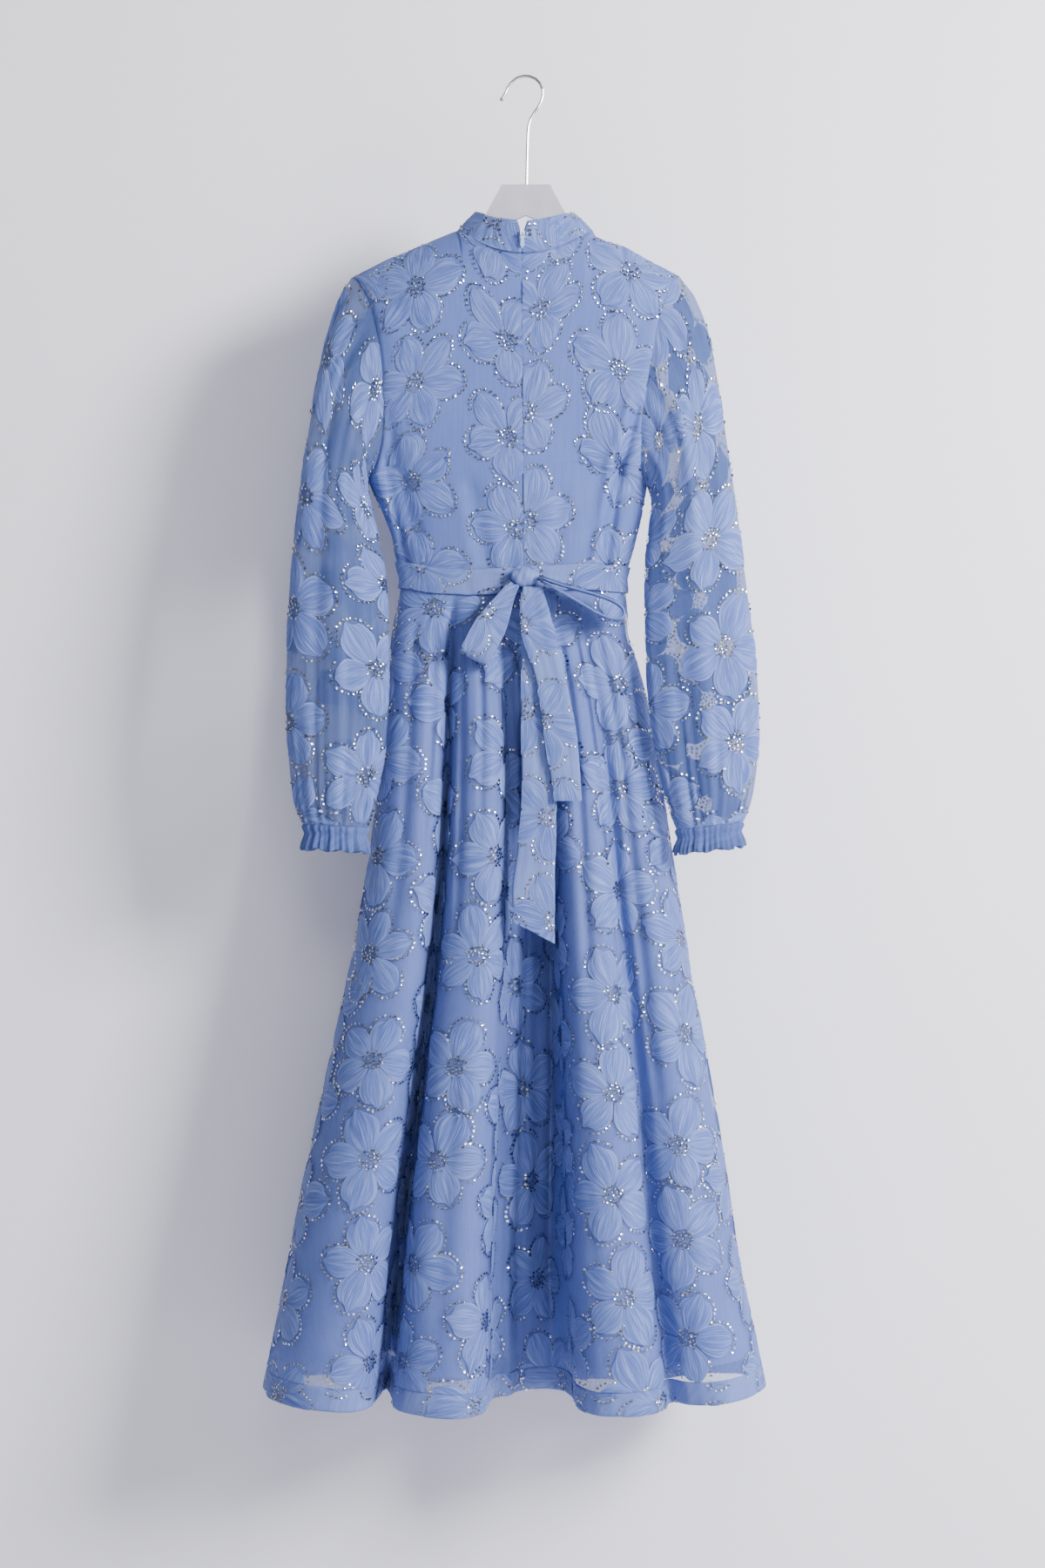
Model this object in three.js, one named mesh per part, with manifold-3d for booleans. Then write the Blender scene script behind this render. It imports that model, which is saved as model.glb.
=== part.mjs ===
// A sequin dress on a hanger, seen from its back: band collar, long full sleeves with
// gathered cuffs, a tied belt and a full skirt over a shorter lining.
//
// Millimetres, +Z up. The origin is where the hook rests on a rail. The back of the dress
// faces -Y, its front faces +Y, and +X is to the right of someone looking at the back.

import * as THREE from 'three';
import { mergeVertices } from 'three/addons/utils/BufferGeometryUtils.js';
import Module from 'manifold-3d';

const wasm = await Module();
wasm.setup();

// Cloth and seams
const CLOTH = 1.6; // one layer of the embroidered net, with its petals
const LINING = 1.2;
const DOUBLED = 2.2; // collar, belt, cuffs and hem band are two layers
const SEAM = 0.3; // left open between two pieces that are sewn together
const HALF_SEAM = SEAM / 2;
const LAYER = 1.0; // air between the skirt and its lining
const SHARPEST = 0.6; // cosine of half the sharpest bend that a wall's inner points follow

// Heights
const WAIST_Z = -545;
const HEM_Z = -1434.5;
const HEM_BAND = 25;
const HEM_SIDE_LIFT = 14; // a flared skirt's hem rises towards its sides
const LINING_SHORTER = 42;

// Columns round and rows down the larger pieces
const SKIRT_COLUMNS = { back: 52, front: 28 };
const SKIRT_ROWS = [0, 20, 80, 170, 290, 430, 580, 740]; // below the waist seam
const ARMHOLE_STEPS = 10; // from the shoulder point to the underarm
const NECK_STEPS = 5; // from the centre back to the shoulder seam
const SHOULDER_STEPS = 6;
const SIDE_ROWS = 2; // from the underarm to the waist
const HALF_COLUMNS = NECK_STEPS + SHOULDER_STEPS;
const NECK_SHARE = NECK_STEPS / HALF_COLUMNS;
const BODICE_ROWS = ARMHOLE_STEPS + SIDE_ROWS;
const LOOP_STEPS = 20;

// The skirt's hem in plan, half at a time: the back from the left side seam to the right
// one, then the front back again. Each row is the crest or the valley of a fold.
const HEM_BACK = [
  { x: -285, y: 0 }, { x: -270, y: -50 }, { x: -228, y: -82 }, { x: -188, y: -83 },
  { x: -168, y: -58 }, { x: -161, y: -5 }, { x: -153, y: 45 }, { x: -145, y: -5 },
  { x: -136, y: -60 }, { x: -108, y: -82 }, { x: -70, y: -86 }, { x: -48, y: -64 },
  { x: -40, y: -15 }, { x: -31, y: 20 }, { x: -20, y: 22 }, { x: -8, y: 46 },
  { x: 14, y: 60 }, { x: 36, y: 56 }, { x: 50, y: 20 }, { x: 56, y: -40 },
  { x: 78, y: -80 }, { x: 116, y: -86 }, { x: 144, y: -70 }, { x: 156, y: -30 },
  { x: 176, y: -52 }, { x: 208, y: -60 }, { x: 240, y: -38 }, { x: 260, y: 6 },
];
const HEM_FRONT = [
  { x: 260, y: 6 }, { x: 256, y: 52 }, { x: 226, y: 92 }, { x: 186, y: 100 },
  { x: 146, y: 84 }, { x: 104, y: 98 }, { x: 64, y: 108 }, { x: 26, y: 88 },
  { x: -14, y: 100 }, { x: -54, y: 108 }, { x: -96, y: 86 }, { x: -138, y: 96 },
  { x: -184, y: 108 }, { x: -226, y: 92 }, { x: -262, y: 58 }, { x: -285, y: 0 },
];

// The skirt's side edges, by height
const SKIRT_EDGES = [
  { z: -545, left: -134, right: 107 }, { z: -604, left: -144, right: 111 },
  { z: -668, left: -151, right: 129 }, { z: -736, left: -157, right: 143 },
  { z: -836, left: -167, right: 157 }, { z: -955, left: -187, right: 176 },
  { z: -1050, left: -208, right: 193 }, { z: -1131, left: -225, right: 207 },
  { z: -1200, left: -240, right: 218 }, { z: -1287, left: -256, right: 230 },
  { z: -1383, left: -274, right: 250 }, { z: -1434.5, left: -285, right: 260 },
];
const WAIST = { left: -134, right: 107 };
const WAIST_DEPTH = 30; // half of it, front to back
const FOLD_TOP_Z = -564; // the folds start under the belt
const FOLD_GROWTH = 0.72;

// Shoulder seams, neck side first, and the side seams below the arms
const SHOULDER = {
  left: [{ x: -76, z: -167 }, { x: -115, z: -183 }, { x: -150, z: -198 }, { x: -189, z: -217.6 }],
  right: [{ x: 73, z: -172 }, { x: 108, z: -185 }, { x: 141, z: -203 }, { x: 166.5, z: -216 }],
};
const SIDE_SEAM = {
  left: [{ x: -172, z: -430 }, { x: -162, z: -455 }, { x: -146, z: -495 }, { x: -134, z: -545 }],
  right: [{ x: 131, z: -438 }, { x: 127, z: -465 }, { x: 120, z: -495 }, { x: 107, z: -545 }],
};
const BUST_DEPTH = { back: 40, front: 46 };
const SHOULDER_ROUND = 62; // how far down the cloth has turned over the shoulder
const SHOULDER_SETTLE = 0.45; // share of the bodice below which its columns are even
const BUST_SHARE = 0.35; // share of the bodice down to which the chest is full

// Sleeves, a row for each ring from the armhole to the cuff: its outer and inner point, its
// middle and half depth front to back, and how far the ring bows towards the body.
const SLEEVE_RINGS = {
  left: [
    { outX: -189, outZ: -217.6, inX: -172, inZ: -430, y: 0, half: 30, bow: 27 },
    { outX: -201, outZ: -236, inX: -176, inZ: -437, y: 0, half: 33, bow: 20 },
    { outX: -214, outZ: -272, inX: -175, inZ: -447, y: -2, half: 35, bow: 12 },
    { outX: -226, outZ: -330, inX: -170, inZ: -463, y: -7, half: 34, bow: 5 },
    { outX: -236, outZ: -400, inX: -162, inZ: -490, y: -16, half: 31, bow: 0 },
    { outX: -244, outZ: -470, inX: -154, inZ: -525, y: -26, half: 28, bow: 0 },
    { outX: -250, outZ: -545, inX: -149, inZ: -575, y: -34, half: 26, bow: 0 },
    { outX: -253, outZ: -640, inX: -147, inZ: -650, y: -39, half: 24, bow: 0 },
    { outX: -251, outZ: -720, inX: -150, inZ: -722, y: -40, half: 24, bow: 0 },
    { outX: -246, outZ: -772, inX: -159, inZ: -774, y: -40, half: 22, bow: 0 },
    { outX: -238, outZ: -808, inX: -168, inZ: -812, y: -40, half: 17, bow: 0 },
  ],
  right: [
    { outX: 166.5, outZ: -216, inX: 131, inZ: -438, y: 0, half: 30, bow: 18 },
    { outX: 180, outZ: -236, inX: 135, inZ: -445, y: 0, half: 33, bow: 14 },
    { outX: 195, outZ: -275, inX: 137, inZ: -454, y: -2, half: 35, bow: 8 },
    { outX: 206, outZ: -335, inX: 137, inZ: -468, y: -6, half: 34, bow: 3 },
    { outX: 215, outZ: -400, inX: 134, inZ: -492, y: -12, half: 31, bow: 0 },
    { outX: 225, outZ: -468, inX: 130, inZ: -524, y: -19, half: 28, bow: 0 },
    { outX: 234, outZ: -545, inX: 129, inZ: -576, y: -26, half: 26, bow: 0 },
    { outX: 245, outZ: -640, inX: 131, inZ: -655, y: -31, half: 24, bow: 0 },
    { outX: 247, outZ: -718, inX: 139, inZ: -728, y: -34, half: 24, bow: 0 },
    { outX: 241, outZ: -774, inX: 151, inZ: -780, y: -35, half: 22, bow: 0 },
    { outX: 232, outZ: -806, inX: 161, inZ: -814, y: -35, half: 17, bow: 0 },
  ],
};
const CUFF = { columns: 40, waves: 10, length: 27 };
const CUFF_ROWS = [ // from the sleeve down: how far the ring grows, and its waves' height
  { drop: SEAM, grow: 0, wave: 0 },
  { drop: 8, grow: -1.5, wave: 0.6 },
  { drop: CUFF.length, grow: 5, wave: 2.4 },
];

// Collar: a band open at the centre back, as rings at its seam and at its top edge. sideZ,
// backZ and frontZ are the ring's heights, and open is half the gap at the centre back.
const COLLAR_RINGS = [
  { left: -76, right: 73, half: 42, sideZ: -168, backZ: -199, frontZ: -214, open: 0.5 },
  { left: -66, right: 63, half: 39, sideZ: -158, backZ: -181, frontZ: -196, open: 0.6 },
  { left: -55, right: 51, half: 36, sideZ: -147, backZ: -162, frontZ: -178, open: 6 },
];
const COLLAR_COLUMNS = 4 * NECK_STEPS;
const COLLAR_LIFT = 1.1; // over the neckline's edge
const COLLAR_X = -4; // the centre-back line at the neck
const WAIST_X = -2;

// Zip slider and its pull. backY is the slider's back, pinOut the pin's distance from its
// front, and sunk how far the ears reach into the slider and the pull into its barrel.
const ZIP = {
  x: -3.6, z: -178.5, backY: -39.9, width: 5, height: 7, depth: 2, ear: 1, pin: 0.6,
  pinOut: 2.5, earHeight: 2.6, sunk: 0.6, eye: 0.95, barrel: 1.8,
  pullLength: 14, pullWidth: 4.4, pullThick: 1.2,
};

// Belt, knot, loops and tails
const BELT = {
  height: 28, columns: 40, clear: 0.8, frontRise: 3, deeper: 1,
  leftAbove: 0.25, leftBelow: 0.18, rightAbove: 0.27, rightBelow: 0.08, // slopes of the sides
};
const BELT_LINE = [ // the middle of the belt across the back
  { x: -140, z: -538 }, { x: -100, z: -546 }, { x: -60, z: -550 }, { x: 0, z: -546 },
  { x: 60, z: -543 }, { x: 112, z: -546 },
];
const KNOT = { x: -1, y: -42.3, z: -545, width: 30, height: 20, depth: 16 };
const LOOPS = {
  left: {
    root: [-12.8, -45.7, -551.5], along: [-0.47, -0.05, -0.88], width: [-0.88, 0, 0.47],
    length: 93, open: 6.5, rootGap: 2.6, rootWidth: 13, fullWidth: 34,
  },
  right: {
    root: [13.7, -49.2, -546], along: [0.91, -0.06, -0.41], width: [-0.06, -1, 0],
    length: 101, open: 9, rootGap: 2.6, rootWidth: 12, fullWidth: 28,
  },
};
const TAIL_BELLY = 1.5; // how far a tail's middle stands out
const TAILS = {
  short: [
    { z: -554.8, left: -4, right: 17, y: -46.5 }, { z: -598, left: -6, right: 30, y: -50 },
    { z: -654, left: 10, right: 43, y: -53.5 }, { z: -719, left: 20, right: 55, y: -57 },
    { z: -784, left: 30, right: 60, y: -60 },
  ],
  long: [
    { z: -555.4, left: -3, right: 17, y: -42.7 }, { z: -640, left: -5, right: 30, y: -46 },
    { z: -719, left: -5, right: 33, y: -49.5 }, { z: -784, left: -4.5, right: 33, y: -52.5 },
    { z: -834, left: -9, right: 32, y: -54 }, { z: -875, left: -14.5, right: 31, y: -55 },
    { z: -913, zRight: -936, left: -13, right: 31, y: -56 },
  ],
};

// Hanger. The arms' outlines start at the flare below the body's top, run out along the
// arm's upper edge and come back along its lower edge.
const HANGER = { thick: 6, topZ: -116.7, topHalf: 28, corner: 4, notchZ: -150 };
const HANGER_ARMS = {
  left: [
    { x: -44, z: -150 }, { x: -62, z: -170 }, { x: -76, z: -174.5 }, { x: -115, z: -187 },
    { x: -150, z: -202 }, { x: -178, z: -219 }, { x: -180, z: -226 }, { x: -174, z: -233 },
    { x: -120, z: -212 }, { x: -60, z: -186 }, { x: -22.6, z: -159.5 },
  ],
  right: [
    { x: 44, z: -150 }, { x: 60, z: -172 }, { x: 73, z: -179 }, { x: 108, z: -189.5 },
    { x: 141, z: -207.5 }, { x: 158, z: -217 }, { x: 160, z: -223 }, { x: 152, z: -232 },
    { x: 108, z: -212 }, { x: 58, z: -187 }, { x: 21.3, z: -159.5 },
  ],
};
const HOOK = { wire: 3.2, ball: 4.6 };
const HOOK_PATH = [
  { x: -26, z: -24 }, { x: -22.5, z: -18 }, { x: -17.5, z: -8 }, { x: -9.5, z: -0.7 },
  { x: 0, z: 1.6 }, { x: 9.5, z: -0.9 }, { x: 16.4, z: -8 }, { x: 18.7, z: -18.5 },
  { x: 14.5, z: -31 }, { x: 7, z: -42 }, { x: 3.2, z: -52 }, { x: 1.8, z: -75 },
  { x: 1, z: -116.4 },
];

const BLUE = 0x8fa6d6;
const clothMaterial = (color, roughness) =>
  new THREE.MeshStandardMaterial({ color, roughness, metalness: 0, side: THREE.DoubleSide });
const metalMaterial = () =>
  new THREE.MeshStandardMaterial({ color: 0xb4b2b6, roughness: 0.3, metalness: 1 });

const dress = new THREE.Group();
function add(name, geometry, material) {
  const mesh = new THREE.Mesh(geometry, material);
  mesh.name = name;
  dress.add(mesh);
}

const lerp = THREE.MathUtils.lerp;

// A value read from a table of rows, in straight lines between them.
function readTable(rows, key, at, value) {
  const falling = rows[0][key] > rows[rows.length - 1][key];
  const before = (a, b) => (falling ? a > b : a < b);
  if (!before(rows[0][key], at)) return rows[0][value];
  for (let k = 1; k < rows.length; k += 1) {
    if (!before(rows[k][key], at)) {
      const share = (at - rows[k - 1][key]) / (rows[k][key] - rows[k - 1][key]);
      return lerp(rows[k - 1][value], rows[k][value], share);
    }
  }
  return rows[rows.length - 1][value];
}

// Outward normals of a grid of outer points, rows going down and columns going round. At a
// bend they are longer than 1, so that a wall keeps its thickness on both sides of the bend.
function gridNormals(grid, closed) {
  const rows = grid.length;
  const columns = grid[0].length;
  const around = (j, i) => grid[j][closed ? (i + columns) % columns
    : THREE.MathUtils.clamp(i, 0, columns - 1)];
  return grid.map((row, j) => row.map((point, i) => {
    const before = point.clone().sub(around(j, i - 1)).normalize();
    const after = around(j, i + 1).clone().sub(point).normalize();
    const across = before.clone().add(after);
    const atEnd = before.lengthSq() === 0 || after.lengthSq() === 0;
    const bend = atEnd ? 1 : Math.max(SHARPEST, across.length() / 2);
    const down = grid[Math.min(j + 1, rows - 1)][i].clone().sub(grid[Math.max(j - 1, 0)][i]);
    return down.cross(across).setLength(1 / bend);
  }));
}

// A cloth wall: the outer points, and the same points moved in by the cloth's thickness.
// flat(j, i) may name an axis that an edge's inner points don't move along, so that two
// panels meet face to face at their seam.
function clothWall(grid, thickness, { closed = false, flat = () => null, lift = 0 } = {}) {
  const normals = gridNormals(grid, closed);
  const rows = grid.length;
  const columns = grid[0].length;
  const positions = [];
  const push = (p) => positions.push(p.x, p.y, p.z);
  const moved = (j, i, distance) => {
    const normal = normals[j][i].clone();
    const axis = flat(j, i);
    if (axis) {
      const length = normal.length();
      normal[axis] = 0;
      normal.setLength(length);
    }
    return grid[j][i].clone().addScaledVector(normal, distance);
  };
  grid.forEach((row, j) => row.forEach((_, i) => push(moved(j, i, lift))));
  grid.forEach((row, j) => row.forEach((_, i) => push(moved(j, i, lift - thickness))));
  const layer = rows * columns;
  const outer = (j, i) => j * columns + (i % columns);
  const inner = (j, i) => layer + outer(j, i);
  const index = [];
  const quad = (a, b, c, d) => index.push(a, b, c, a, c, d);
  const spans = closed ? columns : columns - 1;
  for (let j = 0; j < rows - 1; j += 1) {
    for (let i = 0; i < spans; i += 1) {
      quad(outer(j, i), outer(j + 1, i), outer(j + 1, i + 1), outer(j, i + 1));
      quad(inner(j, i), inner(j, i + 1), inner(j + 1, i + 1), inner(j + 1, i));
    }
  }
  for (let i = 0; i < spans; i += 1) {
    quad(outer(0, i), outer(0, i + 1), inner(0, i + 1), inner(0, i));
    quad(outer(rows - 1, i), inner(rows - 1, i), inner(rows - 1, i + 1), outer(rows - 1, i + 1));
  }
  if (!closed) {
    for (let j = 0; j < rows - 1; j += 1) {
      quad(outer(j, 0), inner(j, 0), inner(j + 1, 0), outer(j + 1, 0));
      const end = columns - 1;
      quad(outer(j, end), outer(j + 1, end), inner(j + 1, end), inner(j, end));
    }
  }
  const geometry = new THREE.BufferGeometry();
  geometry.setAttribute('position', new THREE.Float32BufferAttribute(positions, 3));
  geometry.setIndex(index);
  return geometry;
}

function toManifold(geometry) {
  const bare = geometry.clone();
  bare.deleteAttribute('normal');
  bare.deleteAttribute('uv');
  const merged = mergeVertices(bare, 1e-5);
  return new wasm.Manifold(new wasm.Mesh({
    numProp: 3,
    vertProperties: new Float32Array(merged.attributes.position.array),
    triVerts: new Uint32Array(merged.index.array),
  }));
}

function fromManifold(solid) {
  const mesh = solid.getMesh();
  const geometry = new THREE.BufferGeometry();
  geometry.setAttribute('position', new THREE.BufferAttribute(mesh.vertProperties, 3));
  geometry.setIndex(new THREE.BufferAttribute(mesh.triVerts, 1));
  return geometry;
}

// Skirt: the hem's plan shrinks to the waist's ellipse, and its folds get shallower.
function hemCurve(rows, columns) {
  const curve = new THREE.CatmullRomCurve3(
    rows.map(({ x, y }) => new THREE.Vector3(x, y, 0)), false, 'centripetal');
  curve.arcLengthDivisions = 1200;
  return curve.getSpacedPoints(columns);
}

const hemLeft = SKIRT_EDGES[SKIRT_EDGES.length - 1].left;
const hemRight = SKIRT_EDGES[SKIRT_EDGES.length - 1].right;

function skirtPoint(hem, side, z) {
  const drop = (WAIST_Z - z) / (WAIST_Z - HEM_Z);
  const share = THREE.MathUtils.clamp((hem.x - hemLeft) / (hemRight - hemLeft), 0, 1);
  const across = 2 * share - 1;
  const left = readTable(SKIRT_EDGES, 'z', z, 'left');
  const right = readTable(SKIRT_EDGES, 'z', z, 'right');
  const fold = Math.max(0, (FOLD_TOP_Z - z) / (FOLD_TOP_Z - HEM_Z)) ** FOLD_GROWTH;
  const round = side * WAIST_DEPTH * Math.sqrt(Math.max(0, 1 - across * across));
  const lifted = z + HEM_SIDE_LIFT * drop * drop * across * across;
  return new THREE.Vector3(lerp(left, right, share), lerp(round, hem.y, fold), lifted);
}

const hemBack = hemCurve(HEM_BACK, SKIRT_COLUMNS.back);
const hemFront = hemCurve(HEM_FRONT, SKIRT_COLUMNS.front);
const skirtHeights = SKIRT_ROWS.map((drop) => WAIST_Z - HALF_SEAM - drop);

function skirtGrid(heights) {
  return heights.map((z) => [
    ...hemBack.slice(0, -1).map((hem) => skirtPoint(hem, -1, z)),
    ...hemFront.slice(0, -1).map((hem) => skirtPoint(hem, 1, z)),
  ]);
}

// The two side seams part the ring into a back and a front panel.
function skirtPanel(grid, first, last) {
  const columns = grid[0].length;
  return grid.map((row) => {
    const part = [];
    for (let i = first; i <= last; i += 1) part.push(row[i % columns].clone());
    const start = part[0];
    const end = part[part.length - 1];
    start.lerp(part[1], HALF_SEAM / start.distanceTo(part[1]));
    end.lerp(part[part.length - 2], HALF_SEAM / end.distanceTo(part[part.length - 2]));
    return part;
  });
}

const topEdge = (j) => (j === 0 ? 'z' : null);

function addSkirt() {
  const bandTop = HEM_Z + HEM_BAND;
  const cloth = skirtGrid([...skirtHeights, bandTop + HALF_SEAM]);
  const backEnd = SKIRT_COLUMNS.back;
  const last = backEnd + SKIRT_COLUMNS.front;
  const seams = (count) => ({
    flat: (j, i) => (i === 0 || i === count ? 'y' : topEdge(j)),
  });
  add('skirt_back', clothWall(skirtPanel(cloth, 0, backEnd), CLOTH, seams(backEnd)),
    clothMaterial(BLUE, 0.75));
  add('skirt_front', clothWall(skirtPanel(cloth, backEnd, last), CLOTH, seams(last - backEnd)),
    clothMaterial(BLUE, 0.75));
  const band = skirtGrid([bandTop - HALF_SEAM, HEM_Z]);
  add('hem_band', clothWall(band, CLOTH, { closed: true }), clothMaterial(0x7d93c4, 0.8));
  const lining = skirtGrid([...skirtHeights, HEM_Z + LINING_SHORTER]);
  add('skirt_lining', clothWall(lining, LINING,
    { closed: true, lift: -CLOTH - LAYER, flat: topEdge }),
    clothMaterial(0x86a0d6, 0.6));
}

// Collar ring: angle 0 is the centre back, and it turns by the left shoulder to the front.
function collarPoint(ring, angle) {
  const sine = Math.sin(angle);
  const cosine = Math.cos(angle);
  const reach = (sine > 0 ? ring.left : ring.right) - COLLAR_X;
  const end = cosine > 0 ? ring.backZ : ring.frontZ;
  return new THREE.Vector3(
    COLLAR_X + reach * Math.abs(sine),
    -ring.half * cosine,
    lerp(ring.sideZ, end, cosine * cosine));
}

function addCollar() {
  const grid = [...COLLAR_RINGS].reverse().map((ring) => {
    const start = Math.asin(ring.open / (ring.right - COLLAR_X));
    return Array.from({ length: COLLAR_COLUMNS + 1 }, (_, i) => {
      const angle = 2 * Math.PI * (1 - i / COLLAR_COLUMNS);
      return collarPoint(ring, THREE.MathUtils.clamp(angle, start, 2 * Math.PI - start));
    });
  });
  grid[grid.length - 1].forEach((point) => { point.z += COLLAR_LIFT; });
  const seams = (j, i) => {
    if (i === 0 || i === COLLAR_COLUMNS) return 'x';
    return j === grid.length - 1 ? 'z' : null;
  };
  add('collar', clothWall(grid, DOUBLED, { flat: seams }), clothMaterial(BLUE, 0.75));
}

// Sleeve ring: angle 0 is its outer or upper point, and it turns by the back to the inner
// point and then by the front. facing is -1 on the left sleeve and 1 on the right one.
function sleevePoint(ring, angle, facing) {
  const cosine = Math.cos(angle);
  const sine = Math.sin(angle);
  return new THREE.Vector3(
    lerp(ring.inX, ring.outX, (1 + cosine) / 2) - facing * ring.bow * Math.abs(sine),
    ring.y - ring.half * sine,
    lerp(ring.inZ, ring.outZ, (1 + cosine) / 2));
}

function addSleeve(side, facing) {
  const columns = 2 * ARMHOLE_STEPS;
  const grid = SLEEVE_RINGS[side].map((ring) => Array.from({ length: columns }, (_, i) =>
    sleevePoint(ring, facing * -2 * Math.PI * (i / columns), facing)));
  grid[0].forEach((point) => { point.x += facing * SEAM; });
  const armhole = (j) => (j === 0 ? 'x' : null);
  add(`sleeve_${side}`, clothWall(grid, CLOTH, { closed: true, flat: armhole }),
    clothMaterial(0x8a9cc8, 0.8));
}

// Cuff: the sleeve's last ring drawn in by elastic, with a waved frill below it.
function addCuff(side, facing) {
  const rings = SLEEVE_RINGS[side];
  const last = rings[rings.length - 1];
  const lower = (drop, grow) => ({
    ...last,
    outX: last.outX + facing * grow,
    inX: last.inX - facing * grow,
    outZ: last.outZ - drop,
    inZ: last.inZ - drop,
    half: last.half + grow,
  });
  const rows = CUFF_ROWS.map(({ drop, grow, wave }) => ({ ring: lower(drop, grow), wave }));
  const grid = rows.map(({ ring, wave }) => Array.from({ length: CUFF.columns }, (_, i) => {
    const angle = facing * -2 * Math.PI * (i / CUFF.columns);
    const point = sleevePoint(ring, angle, facing);
    const middle = new THREE.Vector3((ring.outX + ring.inX) / 2, ring.y, point.z);
    const outward = point.clone().sub(middle).normalize();
    return point.addScaledVector(outward, wave * Math.cos(CUFF.waves * angle));
  }));
  add(`cuff_${side}`, clothWall(grid, CLOTH, { closed: true }), clothMaterial(BLUE, 0.75));
}

// Bodice: column -1 is the left armhole and side seam, 0 the centre, 1 the right side.
function bodiceEdge(side, row, front) {
  const facing = side === 'left' ? -1 : 1;
  const bottom = WAIST_Z + HALF_SEAM;
  const turn = front ? -1 : 1;
  if (row <= ARMHOLE_STEPS) {
    const angle = turn * Math.PI * (row / ARMHOLE_STEPS);
    return sleevePoint(SLEEVE_RINGS[side][0], angle, facing);
  }
  const seam = SIDE_SEAM[side];
  const z = lerp(seam[0].z, bottom, (row - ARMHOLE_STEPS) / SIDE_ROWS);
  return new THREE.Vector3(readTable(seam, 'z', z, 'x'), 0, z);
}

function bodiceTop(share, front) {
  const side = share < 0 ? 'left' : 'right';
  const size = Math.abs(share);
  const turn = side === 'left' ? 1 : -1;
  if (size <= NECK_SHARE) {
    const quarter = (Math.PI / 2) * (size / NECK_SHARE);
    return collarPoint(COLLAR_RINGS[0], turn * (front ? Math.PI - quarter : quarter));
  }
  const seam = SHOULDER[side];
  const along = ((size - NECK_SHARE) / (1 - NECK_SHARE)) * (seam.length - 1);
  const k = Math.min(Math.floor(along), seam.length - 2);
  return new THREE.Vector3(
    lerp(seam[k].x, seam[k + 1].x, along - k), 0, lerp(seam[k].z, seam[k + 1].z, along - k));
}

// The share of the way from the top edge to the waist that a row reaches.
function rowShare(side, row) {
  const top = bodiceEdge(side, 0, false).z;
  const bottom = WAIST_Z + HALF_SEAM;
  return (top - bodiceEdge(side, row, false).z) / (top - bottom);
}

function bodicePoint(share, row, front) {
  const left = bodiceEdge('left', row, front);
  const right = bodiceEdge('right', row, front);
  const down = lerp(rowShare('left', row), rowShare('right', row), (share + 1) / 2);
  const top = bodiceTop(share, front);
  const z = lerp(top.z, WAIST_Z + HALF_SEAM, down);
  const edge = share < 0 ? left : right;
  const centreX = lerp(COLLAR_X, WAIST_X, down);
  const topEdge = bodiceEdge(share < 0 ? 'left' : 'right', 0, front);
  const topShare = (top.x - COLLAR_X) / (topEdge.x - COLLAR_X);
  const settle = THREE.MathUtils.smoothstep(down, 0, SHOULDER_SETTLE);
  const x = lerp(centreX, edge.x, lerp(topShare, Math.abs(share), settle));
  const middle = (left.x + right.x) / 2;
  const across = (x - middle) / ((right.x - left.x) / 2);
  const round = Math.sqrt(Math.max(0, 1 - across * across));
  const turned = 1 - Math.min(1, (top.z - z) / SHOULDER_ROUND);
  const over = Math.sqrt(1 - turned * turned);
  const bust = front ? BUST_DEPTH.front : BUST_DEPTH.back;
  const depth = lerp(bust, WAIST_DEPTH, THREE.MathUtils.smoothstep(down, BUST_SHARE, 1));
  const y = Math.abs(top.y) * (1 - over) + over * depth * round + Math.abs(edge.y) * (1 - round);
  return new THREE.Vector3(x, front ? y : -y, z);
}

function bodiceGrid(first, last, front) {
  const count = Math.round((last - first) * HALF_COLUMNS);
  return Array.from({ length: BODICE_ROWS + 1 }, (_, row) =>
    Array.from({ length: count + 1 }, (__, i) =>
      bodicePoint(first + i / HALF_COLUMNS, row, front)));
}

// Edge points stay in their seam's plane: the shoulder and side seams lie in the middle
// between front and back, the armhole and the centre-back seam face sideways.
function bodiceFlat(edgeColumns, centreColumn) {
  return (j, i) => {
    if (i === centreColumn) return 'x';
    const offEnd = Math.min(...edgeColumns.map((column) => Math.abs(i - column)));
    if (offEnd === 0) return j > 0 && j < ARMHOLE_STEPS ? 'x' : 'y';
    const shoulder = offEnd <= HALF_COLUMNS * (1 - NECK_SHARE);
    if (j > 0) return null;
    return shoulder ? 'y' : 'z';
  };
}

function partSeams(grid, front, centreColumn) {
  grid.forEach((row) => row.forEach((point, i) => {
    const away = front ? 1 : -1;
    if (Math.abs(point.y) < HALF_SEAM) point.y = away * HALF_SEAM;
    if (i === centreColumn) point.x += (i === 0 ? 1 : -1) * HALF_SEAM;
  }));
  return grid;
}

function addBodice() {
  const half = HALF_COLUMNS;
  const leftGrid = partSeams(bodiceGrid(-1, 0, false), false, half);
  add('bodice_back_left', clothWall(leftGrid, CLOTH, { flat: bodiceFlat([0], half) }),
    clothMaterial(BLUE, 0.7));
  const rightGrid = partSeams(bodiceGrid(0, 1, false), false, 0);
  add('bodice_back_right', clothWall(rightGrid, CLOTH, { flat: bodiceFlat([half], 0) }),
    clothMaterial(BLUE, 0.7));
  const frontGrid = partSeams(bodiceGrid(-1, 1, true), true, -1)
    .map((row) => row.reverse());
  add('bodice_front', clothWall(frontGrid, CLOTH, { flat: bodiceFlat([0, 2 * half], -1) }),
    clothMaterial(BLUE, 0.7));
}

// Belt: a ring just outside the waist seam. It sags where the knot pulls on it.
function beltHeight(x, front) {
  if (front) return WAIST_Z + BELT.frontRise;
  return readTable(BELT_LINE, 'x', x, 'z');
}

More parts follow.
